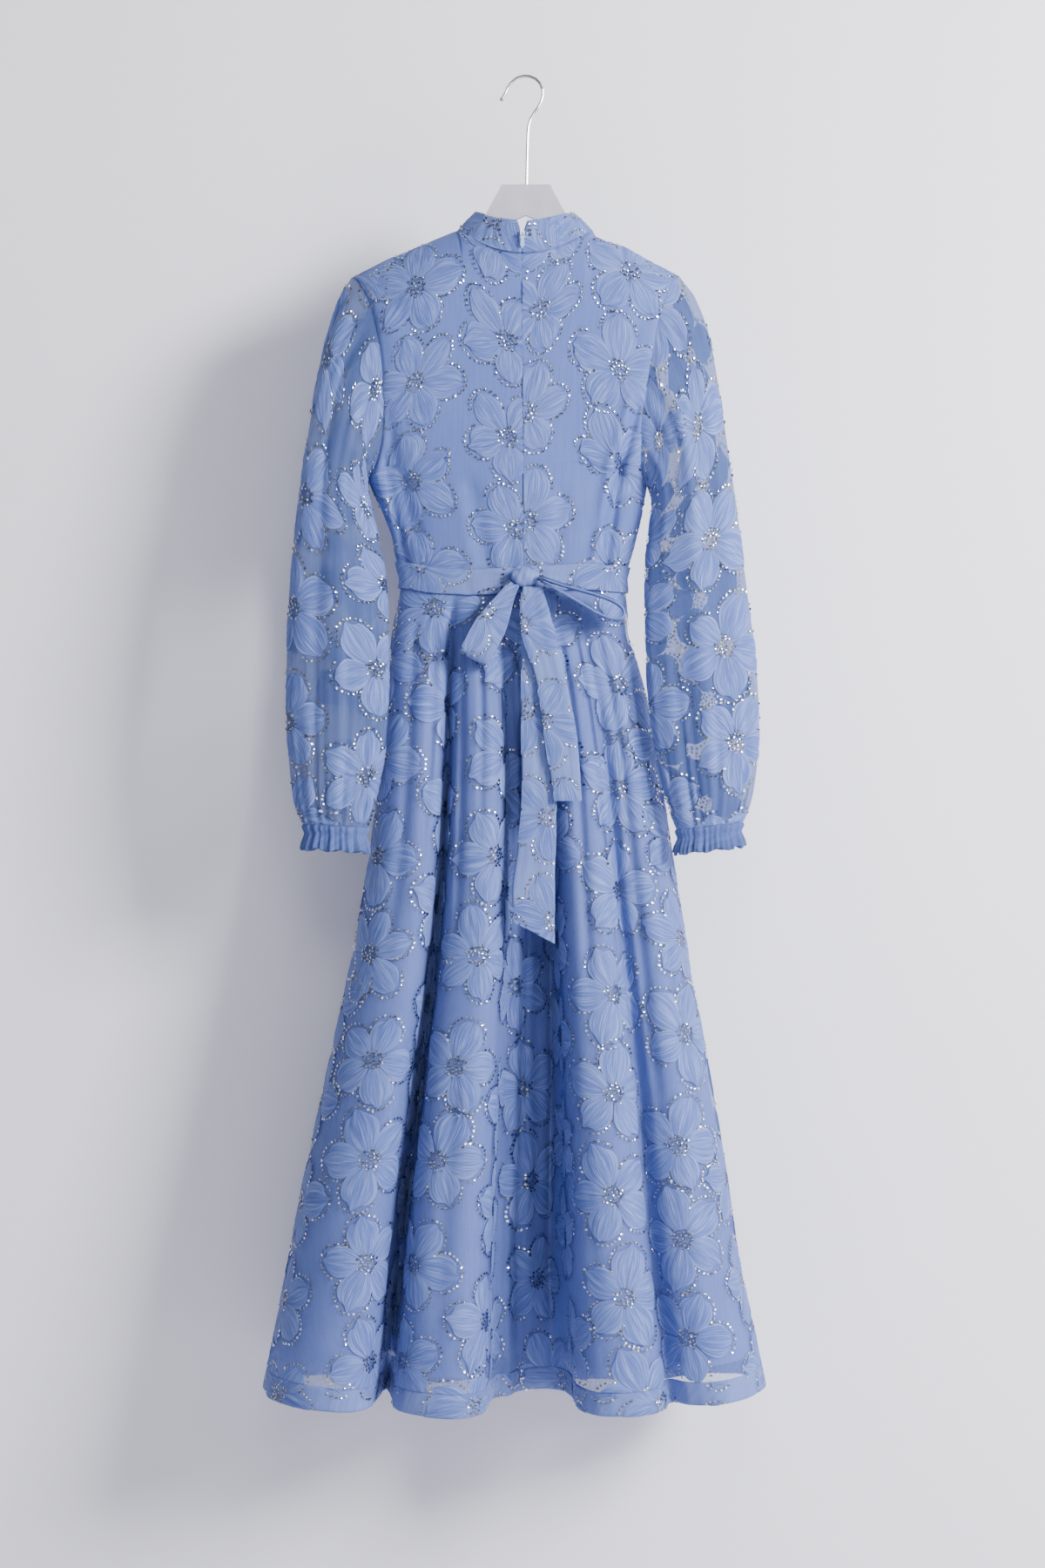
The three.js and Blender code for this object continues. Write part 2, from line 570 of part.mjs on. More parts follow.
function beltPoint(angle, rise) {
  const cosine = Math.cos(angle);
  const sine = Math.sin(angle);
  const front = sine < 0;
  const away = BELT.clear + DOUBLED;
  const roughX = lerp(WAIST.left, WAIST.right, (1 - cosine) / 2);
  const atSide = Math.abs(cosine) ** 6;
  const z = lerp(beltHeight(roughX, front), beltHeight(roughX, false), atSide) + rise;
  const below = Math.max(0, WAIST_Z - z);
  const above = Math.max(0, z - WAIST_Z);
  const left = WAIST.left - above * BELT.leftAbove - below * BELT.leftBelow - away;
  const right = WAIST.right + above * BELT.rightAbove + below * BELT.rightBelow + away;
  const depth = WAIST_DEPTH + BELT.deeper + away;
  const x = lerp(left, right, (1 - cosine) / 2);
  return new THREE.Vector3(x, -depth * sine, z);
}

function addBelt() {
  const rises = [BELT.height / 2, 0, -BELT.height / 2];
  const grid = rises.map((rise) => Array.from({ length: BELT.columns }, (_, i) =>
    beltPoint(2 * Math.PI * (i / BELT.columns), rise)));
  add('belt_band', clothWall(grid, DOUBLED, { closed: true }), clothMaterial(BLUE, 0.75));
}

// Bow: a knot, two loops and two tails.
function addKnot() {
  const geometry = new THREE.SphereGeometry(1, 14, 8);
  geometry.rotateX(Math.PI / 2);
  geometry.scale(KNOT.width / 2, KNOT.depth / 2, KNOT.height / 2);
  geometry.translate(KNOT.x, KNOT.y, KNOT.z);
  geometry.deleteAttribute('normal');
  geometry.deleteAttribute('uv');
  add('bow_knot', mergeVertices(geometry, 1e-4), clothMaterial(BLUE, 0.75));
}

// A loop is a strip that leaves the knot, bends round and comes back. q runs from -1 to 1
// along the strip, and is 0 at the bend.
function loopGrid(loop) {
  const along = new THREE.Vector3(...loop.along).normalize();
  const width = new THREE.Vector3(...loop.width).normalize();
  const open = width.clone().cross(along).normalize();
  const root = new THREE.Vector3(...loop.root);
  return Array.from({ length: LOOP_STEPS + 1 }, (_, j) => {
    const q = (2 * j) / LOOP_STEPS - 1;
    const reach = loop.length * Math.cos((Math.PI / 2) * q) ** 0.6;
    const offset = loop.open * Math.sin(Math.PI * q) + loop.rootGap * q;
    const spread = lerp(loop.rootWidth, loop.fullWidth,
      THREE.MathUtils.smoothstep(reach / loop.length, 0, 0.6));
    const middle = root.clone().addScaledVector(along, reach).addScaledVector(open, offset);
    return [-0.5, 0, 0.5].map((share) => middle.clone().addScaledVector(width, share * spread));
  });
}

function tailGrid(rows) {
  return rows.map((row) => [0, 1 / 3, 2 / 3, 1].map((share) => new THREE.Vector3(
    lerp(row.left, row.right, share),
    row.y - TAIL_BELLY * 4 * share * (1 - share),
    lerp(row.z, row.zRight ?? row.z, share))));
}

function addBow() {
  addKnot();
  Object.entries(LOOPS).forEach(([side, loop]) => {
    add(`bow_loop_${side}`, clothWall(loopGrid(loop), DOUBLED), clothMaterial(BLUE, 0.75));
  });
  Object.entries(TAILS).forEach(([name, rows]) => {
    add(`tail_${name}`, clothWall(tailGrid(rows), DOUBLED), clothMaterial(BLUE, 0.75));
  });
}

// Zip: the slider sits on the collar's centre-back opening, and its pull hangs on a pin.
function boxAt(width, depth, height, x, y, z) {
  const geometry = new THREE.BoxGeometry(width, depth, height);
  geometry.translate(x, y, z);
  return toManifold(geometry);
}

function addZip() {
  const pinY = ZIP.backY - ZIP.depth - ZIP.pinOut;
  const bodyY = ZIP.backY - ZIP.depth / 2;
  const earX = ZIP.width / 2 - ZIP.ear / 2;
  const earDepth = ZIP.pinOut + ZIP.ear + ZIP.sunk;
  const earY = ZIP.backY - ZIP.depth - earDepth / 2 + ZIP.sunk;
  let slider = boxAt(ZIP.width, ZIP.depth, ZIP.height, ZIP.x, bodyY, ZIP.z);
  [-1, 1].forEach((end) => {
    const ear = boxAt(ZIP.ear, earDepth, ZIP.earHeight, ZIP.x + end * earX, earY, ZIP.z);
    slider = slider.add(ear);
  });
  const pin = new THREE.CylinderGeometry(ZIP.pin, ZIP.pin, ZIP.width - ZIP.ear, 12);
  pin.rotateZ(Math.PI / 2);
  pin.translate(ZIP.x, pinY, ZIP.z);
  add('zip_slider', fromManifold(slider.add(toManifold(pin))), metalMaterial());

  const ring = new THREE.Shape();
  ring.absarc(0, 0, ZIP.barrel, 0, 2 * Math.PI);
  const eye = new THREE.Path();
  eye.absarc(0, 0, ZIP.eye, 0, 2 * Math.PI);
  ring.holes.push(eye);
  const barrelWidth = ZIP.width - 2 * ZIP.ear - 2 * SEAM;
  const barrel = new THREE.ExtrudeGeometry(ring,
    { depth: barrelWidth, bevelEnabled: false, curveSegments: 8 });
  barrel.translate(0, 0, -barrelWidth / 2);
  barrel.rotateY(Math.PI / 2);
  barrel.translate(ZIP.x, pinY, ZIP.z);

  const drop = new THREE.Shape();
  const half = ZIP.pullWidth / 2;
  const top = -ZIP.barrel + ZIP.sunk;
  drop.moveTo(-barrelWidth / 2, top);
  drop.bezierCurveTo(-barrelWidth / 2, -5, -half, -7, -half, -ZIP.pullLength + half);
  drop.absarc(0, -ZIP.pullLength + half, half, Math.PI, 2 * Math.PI);
  drop.bezierCurveTo(half, -7, barrelWidth / 2, -5, barrelWidth / 2, top);
  const plate = new THREE.ExtrudeGeometry(drop,
    { depth: ZIP.pullThick, bevelEnabled: false, curveSegments: 8 });
  plate.translate(0, 0, -ZIP.pullThick / 2);
  plate.rotateX(Math.PI / 2);
  plate.translate(ZIP.x, pinY, ZIP.z);
  add('zip_pull', fromManifold(toManifold(barrel).add(toManifold(plate))), metalMaterial());
}

// Hanger: a flat moulded body with two arms inside the shoulders, and a wire hook.
function addHanger() {
  const outline = new THREE.Shape();
  const { topHalf, topZ, corner } = HANGER;
  outline.moveTo(-topHalf, topZ - corner);
  outline.quadraticCurveTo(-topHalf, topZ, -topHalf + corner, topZ);
  outline.lineTo(topHalf - corner, topZ);
  outline.quadraticCurveTo(topHalf, topZ, topHalf, topZ - corner);
  HANGER_ARMS.right.forEach(({ x, z }) => outline.lineTo(x, z));
  outline.lineTo(0, HANGER.notchZ);
  [...HANGER_ARMS.left].reverse().forEach(({ x, z }) => outline.lineTo(x, z));
  outline.closePath();
  const body = new THREE.ExtrudeGeometry(outline,
    { depth: HANGER.thick, bevelEnabled: false, curveSegments: 5 });
  body.translate(0, 0, -HANGER.thick / 2);
  body.rotateX(Math.PI / 2);
  add('hanger_body', body, clothMaterial(0xbdbac6, 0.35));

  const wire = new THREE.Shape();
  wire.absarc(0, 0, HOOK.wire / 2, 0, 2 * Math.PI);
  const path = new THREE.CatmullRomCurve3(
    HOOK_PATH.map(({ x, z }) => new THREE.Vector3(x, 0, z)), false, 'centripetal');
  const hook = new THREE.ExtrudeGeometry(wire,
    { steps: 24, bevelEnabled: false, curveSegments: 4, extrudePath: path });
  const ball = new THREE.SphereGeometry(HOOK.ball / 2, 10, 6);
  ball.translate(HOOK_PATH[0].x, 0, HOOK_PATH[0].z);
  add('hanger_hook', fromManifold(toManifold(hook).add(toManifold(ball))), metalMaterial());
}

addSkirt();
addBodice();
addCollar();
addSleeve('left', -1);
addSleeve('right', 1);
addCuff('left', -1);
addCuff('right', 1);
addBelt();
addBow();
addZip();
addHanger();

export default dress;
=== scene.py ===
# %% [markdown]
# # A sequin dress, hung with its back to us
#
# The dress is sheer net covered in gathered petals, with rows of small cup sequins round
# them. The bodice and skirt have a plain lining behind the net and the sleeves have none.
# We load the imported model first: it gives every piece its place, and the cloth surfaces
# made here lie on the same forms with much finer folds.

# %% Load the frame
import math
import bpy
import numpy as np
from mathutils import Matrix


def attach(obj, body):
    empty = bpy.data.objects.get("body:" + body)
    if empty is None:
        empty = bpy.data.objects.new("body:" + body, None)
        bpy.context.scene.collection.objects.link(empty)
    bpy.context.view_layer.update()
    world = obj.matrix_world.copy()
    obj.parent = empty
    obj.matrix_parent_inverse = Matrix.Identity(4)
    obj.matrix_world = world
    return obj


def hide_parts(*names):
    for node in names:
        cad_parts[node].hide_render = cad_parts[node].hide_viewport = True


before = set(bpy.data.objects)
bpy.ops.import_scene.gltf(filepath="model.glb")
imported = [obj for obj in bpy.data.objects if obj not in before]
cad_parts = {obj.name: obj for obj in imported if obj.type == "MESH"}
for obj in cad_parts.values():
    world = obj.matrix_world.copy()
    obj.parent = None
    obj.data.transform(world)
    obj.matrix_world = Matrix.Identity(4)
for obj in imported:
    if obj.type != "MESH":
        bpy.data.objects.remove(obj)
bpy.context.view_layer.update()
MM = 0.001
rng = np.random.default_rng(7)
print("nodes:", len(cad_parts))

# %% [markdown]
# ## Surfaces on a grid
#
# Cloth is thin and bends everywhere, so it is easiest to describe as a surface: a grid of
# points, rows going down and columns going across. One helper turns such a grid into a
# mesh. It also stores the cloth's own flat measure as the UV map, so that a weave or a
# petal keeps its real size wherever the cloth goes.


# %% From a grid of points to a mesh
def grid_faces(rows, columns, closed=False):
    """Quads between neighbouring grid points, turned so that they face away from the wearer."""
    j, i = np.meshgrid(np.arange(rows - 1), np.arange(columns if closed else columns - 1),
                       indexing="ij")
    k = (i + 1) % columns
    return np.stack([j * columns + i, (j + 1) * columns + i,
                     (j + 1) * columns + k, j * columns + k], axis=-1).reshape(-1, 4)


def make_piece(name, points, faces, uv=None, tone=None, smooth=True):
    """A mesh from points in millimetres and faces, with uv and tone given for each point."""
    mesh = bpy.data.meshes.new(name)
    mesh.vertices.add(len(points))
    mesh.vertices.foreach_set("co", (np.asarray(points, dtype=np.float32) * MM).ravel())
    corners = faces.shape[1]
    mesh.loops.add(faces.size)
    mesh.loops.foreach_set("vertex_index", faces.ravel().astype(np.int32))
    mesh.polygons.add(len(faces))
    mesh.polygons.foreach_set("loop_start", np.arange(len(faces), dtype=np.int32) * corners)
    mesh.update(calc_edges=True)
    mesh.validate()
    mesh.polygons.foreach_set("use_smooth", np.full(len(mesh.polygons), smooth))
    if uv is not None:
        layer = mesh.uv_layers.new(name="cloth")
        layer.data.foreach_set("uv", np.asarray(uv, dtype=np.float32)[faces.ravel()].ravel())
    if tone is not None:
        mark = mesh.attributes.new("tone", "FLOAT", "POINT")
        mark.data.foreach_set("value", np.asarray(tone, dtype=np.float32))
    piece = bpy.data.objects.new(name, mesh)
    bpy.context.scene.collection.objects.link(piece)
    return piece


def put_on(piece, material, replaces=()):
    """Gives a piece its material. It rides on the dress, and stands for the nodes named."""
    piece.data.materials.append(material)
    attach(piece, "dress")
    if replaces:
        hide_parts(*replaces)
    return piece


def grid_normals(grid, closed=False):
    """Unit normals of a grid: the row direction crossed with the column direction."""
    if closed:
        across = np.roll(grid, -1, axis=1) - np.roll(grid, 1, axis=1)
    else:
        across = np.gradient(grid, axis=1)
    down = np.gradient(grid, axis=0)
    normal = np.cross(down, across)
    return normal / np.maximum(np.linalg.norm(normal, axis=-1, keepdims=True), 1e-9)


def smooth_step(x, low, high):
    """0 below low, 1 above high, and an S-shaped rise between them."""
    t = np.clip((x - low) / (high - low), 0, 1)
    return t * t * (3 - 2 * t)


CURVE_STEPS = 60


def between(t, low, first, high, last):
    """The point at t on the line from first, which lies at low, to last, at high."""
    return (high - t) / (high - low) * first + (t - low) / (high - low) * last


def catmull_rom(points, count):
    """A centripetal Catmull-Rom curve through the points, cut into count equal lengths.
    Between two points it blends the lines through each pair, by their share of the way."""
    p = np.asarray(points, dtype=float)
    p = np.vstack([2 * p[0] - p[1], p, 2 * p[-1] - p[-2]])
    steps = np.sqrt(np.linalg.norm(np.diff(p, axis=0), axis=1))
    fine = []
    for k in range(1, len(p) - 2):
        t0, t1, t2, t3 = np.cumsum([0, *steps[k - 1:k + 2]])
        t = np.linspace(t1, t2, CURVE_STEPS, endpoint=False)[:, None]
        a1 = between(t, t0, p[k - 1], t1, p[k])
        a2 = between(t, t1, p[k], t2, p[k + 1])
        a3 = between(t, t2, p[k + 1], t3, p[k + 2])
        b1, b2 = between(t, t0, a1, t2, a2), between(t, t1, a2, t3, a3)
        fine.append(between(t, t1, b1, t2, b2))
    fine = np.vstack([*fine, p[-2:-1]])
    length = np.concatenate([[0], np.cumsum(np.linalg.norm(np.diff(fine, axis=0), axis=1))])
    at = np.linspace(0, length[-1], count + 1)
    return np.stack([np.interp(at, length, fine[:, k]) for k in range(p.shape[1])], axis=1)


# %% [markdown]
# ## The skirt's form
#
# Seen from above, the hem is a line of deep rounded folds, and the waist is a plain oval.
# Every height between is a blend of the two. The folds get deeper faster near the waist
# than at the hem, as they do when cloth is gathered into a band and hangs free.

# %% The skirt's form
WAIST_Z, HEM_Z, HEM_BAND = -545.0, -1434.5, 25.0
WAIST_DEPTH, FOLD_TOP_Z, FOLD_GROWTH, HEM_SIDE_LIFT = 30.0, -564.0, 0.72, 14.0
HEM_BACK = np.array([
    (-285, 0), (-270, -50), (-228, -82), (-188, -83), (-168, -58), (-161, -5), (-153, 45),
    (-145, -5), (-136, -60), (-108, -82), (-70, -86), (-48, -64), (-40, -15), (-31, 20),
    (-20, 22), (-8, 46), (14, 60), (36, 56), (50, 20), (56, -40), (78, -80), (116, -86),
    (144, -70), (156, -30), (176, -52), (208, -60), (240, -38), (260, 6)], dtype=float)
HEM_FRONT = np.array([
    (260, 6), (256, 52), (226, 92), (186, 100), (146, 84), (104, 98), (64, 108), (26, 88),
    (-14, 100), (-54, 108), (-96, 86), (-138, 96), (-184, 108), (-226, 92), (-262, 58),
    (-285, 0)], dtype=float)
EDGE_Z = np.array([-545, -604, -668, -736, -836, -955, -1050, -1131, -1200, -1287, -1383,
                   -1434.5])
EDGE_LEFT = np.array([-134, -144, -151, -157, -167, -187, -208, -225, -240, -256, -274, -285.])
EDGE_RIGHT = np.array([107, 111, 129, 143, 157, 176, 193, 207, 218, 230, 250, 260.])

# Small soft folds that die out: where on the hem's width they run, how wide and deep they
# are, and the heights between which they show. Each grows in and fades out over a length,
# and wanders a little to the sides on its way down.
CREASE_RISE, CREASE_FADE, CREASE_WANDER, WANDER_LENGTH = 70, 160, 0.006, 130
CREASES = [  # share, width, depth, top z, bottom z
    (0.262, 0.024, -7.0, -560, -800), (0.236, 0.032, -2.0, -760, -1330),
    (0.242, 0.010, 13.0, -780, -1440),
    (0.586, 0.012, -16.0, -860, -1440), (0.530, 0.022, 12.0, -760, -1440),
    (0.10, 0.020, -3.5, -570, -1000), (0.185, 0.016, -4.5, -570, -900),
    (0.30, 0.014, -4.0, -575, -980), (0.365, 0.012, -3.5, -570, -860),
    (0.43, 0.014, -4.0, -570, -1150), (0.515, 0.012, -5.0, -565, -1250),
    (0.57, 0.010, -4.0, -565, -1100), (0.70, 0.014, -4.5, -575, -1050),
    (0.775, 0.012, -5.0, -570, -1300), (0.86, 0.016, -4.0, -575, -1200),
    (0.93, 0.014, -3.5, -600, -1380), (0.225, 0.018, -3.0, -1000, -1420),
    (0.335, 0.020, -3.0, -1050, -1420), (0.665, 0.018, -3.0, -1100, -1420),
]


def edge_at(z, edge):
    """The side edge's x at each height, read along its table."""
    return np.interp(-z, -EDGE_Z, edge)


def skirt_surface(hem, side, heights, creased=True):
    """Points of a skirt panel: x keeps its share between the side edges, y blends the waist's
    oval into the hem's folds as a power of the distance below the belt, and z rises towards
    the sides as a square."""
    z = np.asarray(heights, dtype=float)[:, None]
    drop = (WAIST_Z - z) / (WAIST_Z - HEM_Z)
    share = np.clip((hem[:, 0] - EDGE_LEFT[-1]) / (EDGE_RIGHT[-1] - EDGE_LEFT[-1]), 0, 1)[None]
    across = 2 * share - 1
    left, right = edge_at(z, EDGE_LEFT), edge_at(z, EDGE_RIGHT)
    fold = np.clip((FOLD_TOP_Z - z) / (FOLD_TOP_Z - HEM_Z), 0, 1) ** FOLD_GROWTH
    oval = side * WAIST_DEPTH * np.sqrt(np.clip(1 - across ** 2, 0, 1))
    x = left + (right - left) * share
    y = oval * (1 - fold) + hem[None, :, 1] * fold
    if creased:
        for place, width, depth, top, bottom in CREASES:
            grown = smooth_step(-z, -top, -top + CREASE_RISE)
            inside = grown * (1 - smooth_step(-z, -bottom - CREASE_FADE, -bottom))
            wander = place + CREASE_WANDER * np.sin((z - WAIST_Z) / WANDER_LENGTH + place * 40)
            y = y + side * depth * inside * np.exp(-((share - wander) / width) ** 2)
    lifted = z + HEM_SIDE_LIFT * drop * drop * across ** 2 + 0 * x
    return np.stack([x, y, lifted], axis=-1)


def flat_measure(grid, start_column):
    """The cloth's own measure: the length along each row from a chosen column, and the mean
    length down the columns."""
    steps = np.linalg.norm(np.diff(grid, axis=1), axis=-1)
    along = np.concatenate([np.zeros((len(grid), 1)), np.cumsum(steps, axis=1)], axis=1)
    along -= along[:, start_column:start_column + 1]
    falls = np.linalg.norm(np.diff(grid, axis=0), axis=-1)
    middle = np.median(falls, axis=1)
    down = np.concatenate([[0], np.cumsum(middle)])
    return along, np.repeat(down[:, None], grid.shape[1], axis=1)

# %% [markdown]
# ## Camera, room and light
#
# The photo is taken square on, from about three metres, with the dress close in front of a
# pale wall. The camera's lens is set so that one and two thirds metres, at the
# dress, fill the frame. The wall is only seen from its front, so that it hides nothing when
# somebody walks round the model. The main light comes from the upper right, so the shadow
# falls left. The others are weak: they open the folds and even out the wall.

# %% Camera
FRAME_HEIGHT, CAMERA_BACK, MIDDLE_X, MIDDLE_Z = 1.674, 3.0, -0.0035, -0.766
DRESS_BACK_Y, SENSOR = 0.045, 36
camera = bpy.data.objects.new("camera", bpy.data.cameras.new("camera"))
camera.data.lens = SENSOR * (CAMERA_BACK - DRESS_BACK_Y) / FRAME_HEIGHT
camera.data.sensor_width = SENSOR
camera.location = (MIDDLE_X, -CAMERA_BACK, MIDDLE_Z)
camera.rotation_euler = (math.pi / 2, 0, 0)
bpy.context.scene.collection.objects.link(camera)
bpy.context.scene.camera = camera
print("lens:", round(camera.data.lens, 1))


# %% Node helpers
def new_material(name):
    """An empty node material with a Principled shader and an output."""
    material = bpy.data.materials.new(name)
    material.use_nodes = True
    tree = material.node_tree
    tree.nodes.clear()
    out = tree.nodes.new("ShaderNodeOutputMaterial")
    shader = tree.nodes.new("ShaderNodeBsdfPrincipled")
    tree.links.new(shader.outputs[0], out.inputs["Surface"])
    return material, tree, shader, out


def put(tree, socket, value):
    """Sets a value on a socket, or links it there if it is another node's output."""
    if isinstance(value, bpy.types.NodeSocket):
        tree.links.new(value, socket)
    else:
        socket.default_value = value


def feed(tree, node, **values):
    """Puts values on a node's inputs, whose names have underscores in place of spaces."""
    for name, value in values.items():
        put(tree, node.inputs[name.replace("_", " ")], value)
    return node


def add_node(tree, kind, **values):
    """A new node of the kind, with these values on its inputs."""
    return feed(tree, tree.nodes.new("ShaderNode" + kind), **values)


def linear(red, green, blue):
    """A screen colour, 0 to 255, as the linear light that shaders work with."""
    c = np.array([red, green, blue]) / 255
    light = np.where(c <= 0.04045, c / 12.92, ((c + 0.055) / 1.055) ** 2.4)
    return (*light.tolist(), 1.0)


def noise(tree, vector, scale, detail=3.0, roughness=0.55):
    """A noise texture read at the vector."""
    return add_node(tree, "TexNoise", Vector=vector, Scale=scale, Detail=detail,
                    Roughness=roughness).outputs["Fac"]


def stretched(tree, source, stretch):
    """The texture place, stretched along its axes."""
    return add_node(tree, "Mapping", Vector=source, Scale=stretch).outputs["Vector"]


def ramp(tree, factor, stops):
    """A colour read along a ramp of (place, colour) stops."""
    node = add_node(tree, "ValToRGB", Fac=factor)
    while len(node.color_ramp.elements) < len(stops):
        node.color_ramp.elements.new(0.5)
    for element, (place, colour) in zip(node.color_ramp.elements, stops):
        element.position, element.color = place, colour
    return node.outputs["Color"]


def math_node(tree, kind, *values):
    """A sum of two values, each a number or another node's output."""
    node = add_node(tree, "Math")
    node.operation = kind
    for socket, value in zip(node.inputs, values):
        put(tree, socket, value)
    return node.outputs[0]


def weighed(tree, first, second, share):
    """Two values added: the first has the share, and the second has the rest."""
    return math_node(tree, "ADD", math_node(tree, "MULTIPLY", first, share),
                     math_node(tree, "MULTIPLY", second, 1 - share))


def mixed_colour(tree, factor, first, second):
    """Two colours mixed by a factor."""
    node = add_node(tree, "Mix")
    node.data_type = "RGBA"
    return feed(tree, node, Factor=factor, A=first, B=second).outputs["Result"]


def shader_mix(tree, first, second, share):
    """A mix of two shaders, with the second's share."""
    node = add_node(tree, "MixShader", Fac=share)
    put(tree, node.inputs[1], first)
    put(tree, node.inputs[2], second)
    return node.outputs[0]


def bumped(tree, shader, height, distance, strength=1.0):
    """A bump of the given depth in metres on the shader."""
    bump = add_node(tree, "Bump", Height=height, Strength=strength, Distance=distance)
    feed(tree, shader, Normal=bump.outputs["Normal"])


def cloth_place(tree):
    """The flat measure of the cloth, kept in its UV map, in millimetres."""
    node = add_node(tree, "UVMap")
    node.uv_map = "cloth"
    return node.outputs["UV"]


def attribute(tree, name):
    """A number kept on each point of the mesh."""
    node = add_node(tree, "Attribute")
    node.attribute_name = name
    return node.outputs["Fac"]


# %% Wall, floor and lights
WALL_Y, WALL_TOP, WALL_HALF, FLOOR_Z, FLOOR_HALF = 0.165, 2.5, 3, -1.75, 4


def plain_board(name, corners, colour):
    """A flat board through four corners, with a plain matt paint that is cloudy by a trace."""
    mesh = bpy.data.meshes.new(name)
    mesh.from_pydata(corners, [], [(0, 1, 2, 3)])
    board = bpy.data.objects.new(name, mesh)
    bpy.context.scene.collection.objects.link(board)
    paint, tree, shader, out = new_material(name + "_paint")
    cloud = noise(tree, add_node(tree, "TexCoord").outputs["Object"], 1.5)
    paler = tuple(min(1.0, 1.03 * c) for c in colour[:3]) + (1.0,)
    feed(tree, shader, Base_Color=ramp(tree, cloud, [(0.3, colour), (0.7, paler)]),
         Roughness=0.9)
    mesh.materials.append(paint)
    return tree, shader, out


tree, shader, out = plain_board(
    "wall", [(-WALL_HALF, WALL_Y, FLOOR_Z), (WALL_HALF, WALL_Y, FLOOR_Z),
             (WALL_HALF, WALL_Y, WALL_TOP), (-WALL_HALF, WALL_Y, WALL_TOP)],
    linear(238, 237, 245))
behind = add_node(tree, "NewGeometry").outputs["Backfacing"]
clear = add_node(tree, "BsdfTransparent").outputs[0]
feed(tree, out, Surface=shader_mix(tree, shader.outputs[0], clear, behind))
plain_board("floor", [(x * FLOOR_HALF, y * FLOOR_HALF, FLOOR_Z)
                      for x, y in ((-1, -1), (1, -1), (1, 1), (-1, 1))],
            linear(205, 204, 212))


def soft_light(name, place, aim, size, watts):
    """A square softbox at a place, turned to face the aim."""
    lamp = bpy.data.lights.new(name, "AREA")
    lamp.shape, lamp.size, lamp.energy = "SQUARE", size, watts
    holder = bpy.data.objects.new(name, lamp)
    bpy.context.scene.collection.objects.link(holder)
    away = np.array(aim) - np.array(place)
    holder.location = place
    holder.rotation_euler = (math.atan2(math.hypot(away[0], away[1]), -away[2]), 0,
                             math.atan2(-away[0], away[1]))


LIGHTS = [  # name, place, aim, size, watts
    ("key_light", (2.3, -2.1, 0.35), (0.1, 0.1, -0.75), 1.0, 225),
    ("fill_light", (0.7, -3.4, -0.5), (0, 0, -0.9), 2.2, 16),
    ("top_light", (0.1, -3.1, 0.85), (0, 0.1, -0.5), 0.9, 22),
    ("wall_light", (1.9, -0.9, -0.2), (1.0, 0.165, -0.6), 1.2, 15),
    ("front_fill", (0.6, 3.2, 0.6), (0, 0, -0.7), 2.5, 70),
]
for row in LIGHTS:
    soft_light(*row)
world = bpy.data.worlds.new("room")
world.use_nodes = True
feed(world.node_tree, world.node_tree.nodes["Background"], Color=(0.82, 0.85, 0.95, 1),
     Strength=0.34)
bpy.context.scene.world = world
print("lights:", len(LIGHTS))

# %% [markdown]
# ## Cloth finishes
#
# One recipe serves every plain cloth. On skirt and sleeves it is a fine sheer net, so its
# shader is mixed with a clear one. The bodice's net lies on its lining, belt, collar, cuffs
# and hem are folded double, and the lining is a plain smooth weave, so these are not sheer.
# The petals are of the same cloth gathered tight: their tiny ruffles run from the flower's
# middle to the petal's rim, as streaks that are painted lighter on their crests and darker in
# their hollows, a painted highlight and painted shade that follow the bump. The rim is rolled
# and paler. All cloth has a faint blue sheen. The sequins are polished metal, and each one's
# colour carries a painted reflection, dimmer or stronger at random.


# %% Cloth finishes
def lit_through(tree, surface, tone, share):
    """Thin cloth lets light through, so a deep fold glows in the cloth's own colour."""
    through = add_node(tree, "BsdfTranslucent", Color=tone)
    return shader_mix(tree, surface, through.outputs[0], share)


SHEEN_TINT = (0.6, 0.72, 1.0, 1.0)


def net_cloth(name, colour, deep, cover, roughness=0.8):
    """Fine net: streaks down the length and broad clouds, both noise on the flat measure, a
    fine weave as bump, and a share of clear shader, 1 less the cover, that shows what is
    behind."""
    material, tree, shader, out = new_material(name)
    place = cloth_place(tree)
    streak = noise(tree, stretched(tree, place, (0.35, 0.02, 1)), 1.0, 4)
    cloud = noise(tree, stretched(tree, place, (0.02, 0.02, 1)), 1.0, 2)
    tint = weighed(tree, streak, cloud, 0.6)
    tone = ramp(tree, tint, [(0.36, deep), (0.64, colour)])
    feed(tree, shader, Base_Color=tone, Roughness=roughness, Sheen_Weight=0.15,
         Sheen_Tint=SHEEN_TINT, Sheen_Roughness=0.4, Specular_IOR_Level=0.3)
    bumped(tree, shader, noise(tree, stretched(tree, place, (1.6, 0.5, 1)), 1.0, 2), 0.0004)
    surface = lit_through(tree, shader.outputs[0], tone, 0.3)
    if cover < 1:
        clear = add_node(tree, "BsdfTransparent").outputs[0]
        surface = shader_mix(tree, clear, surface, cover)
    feed(tree, out, Surface=surface)
    return material


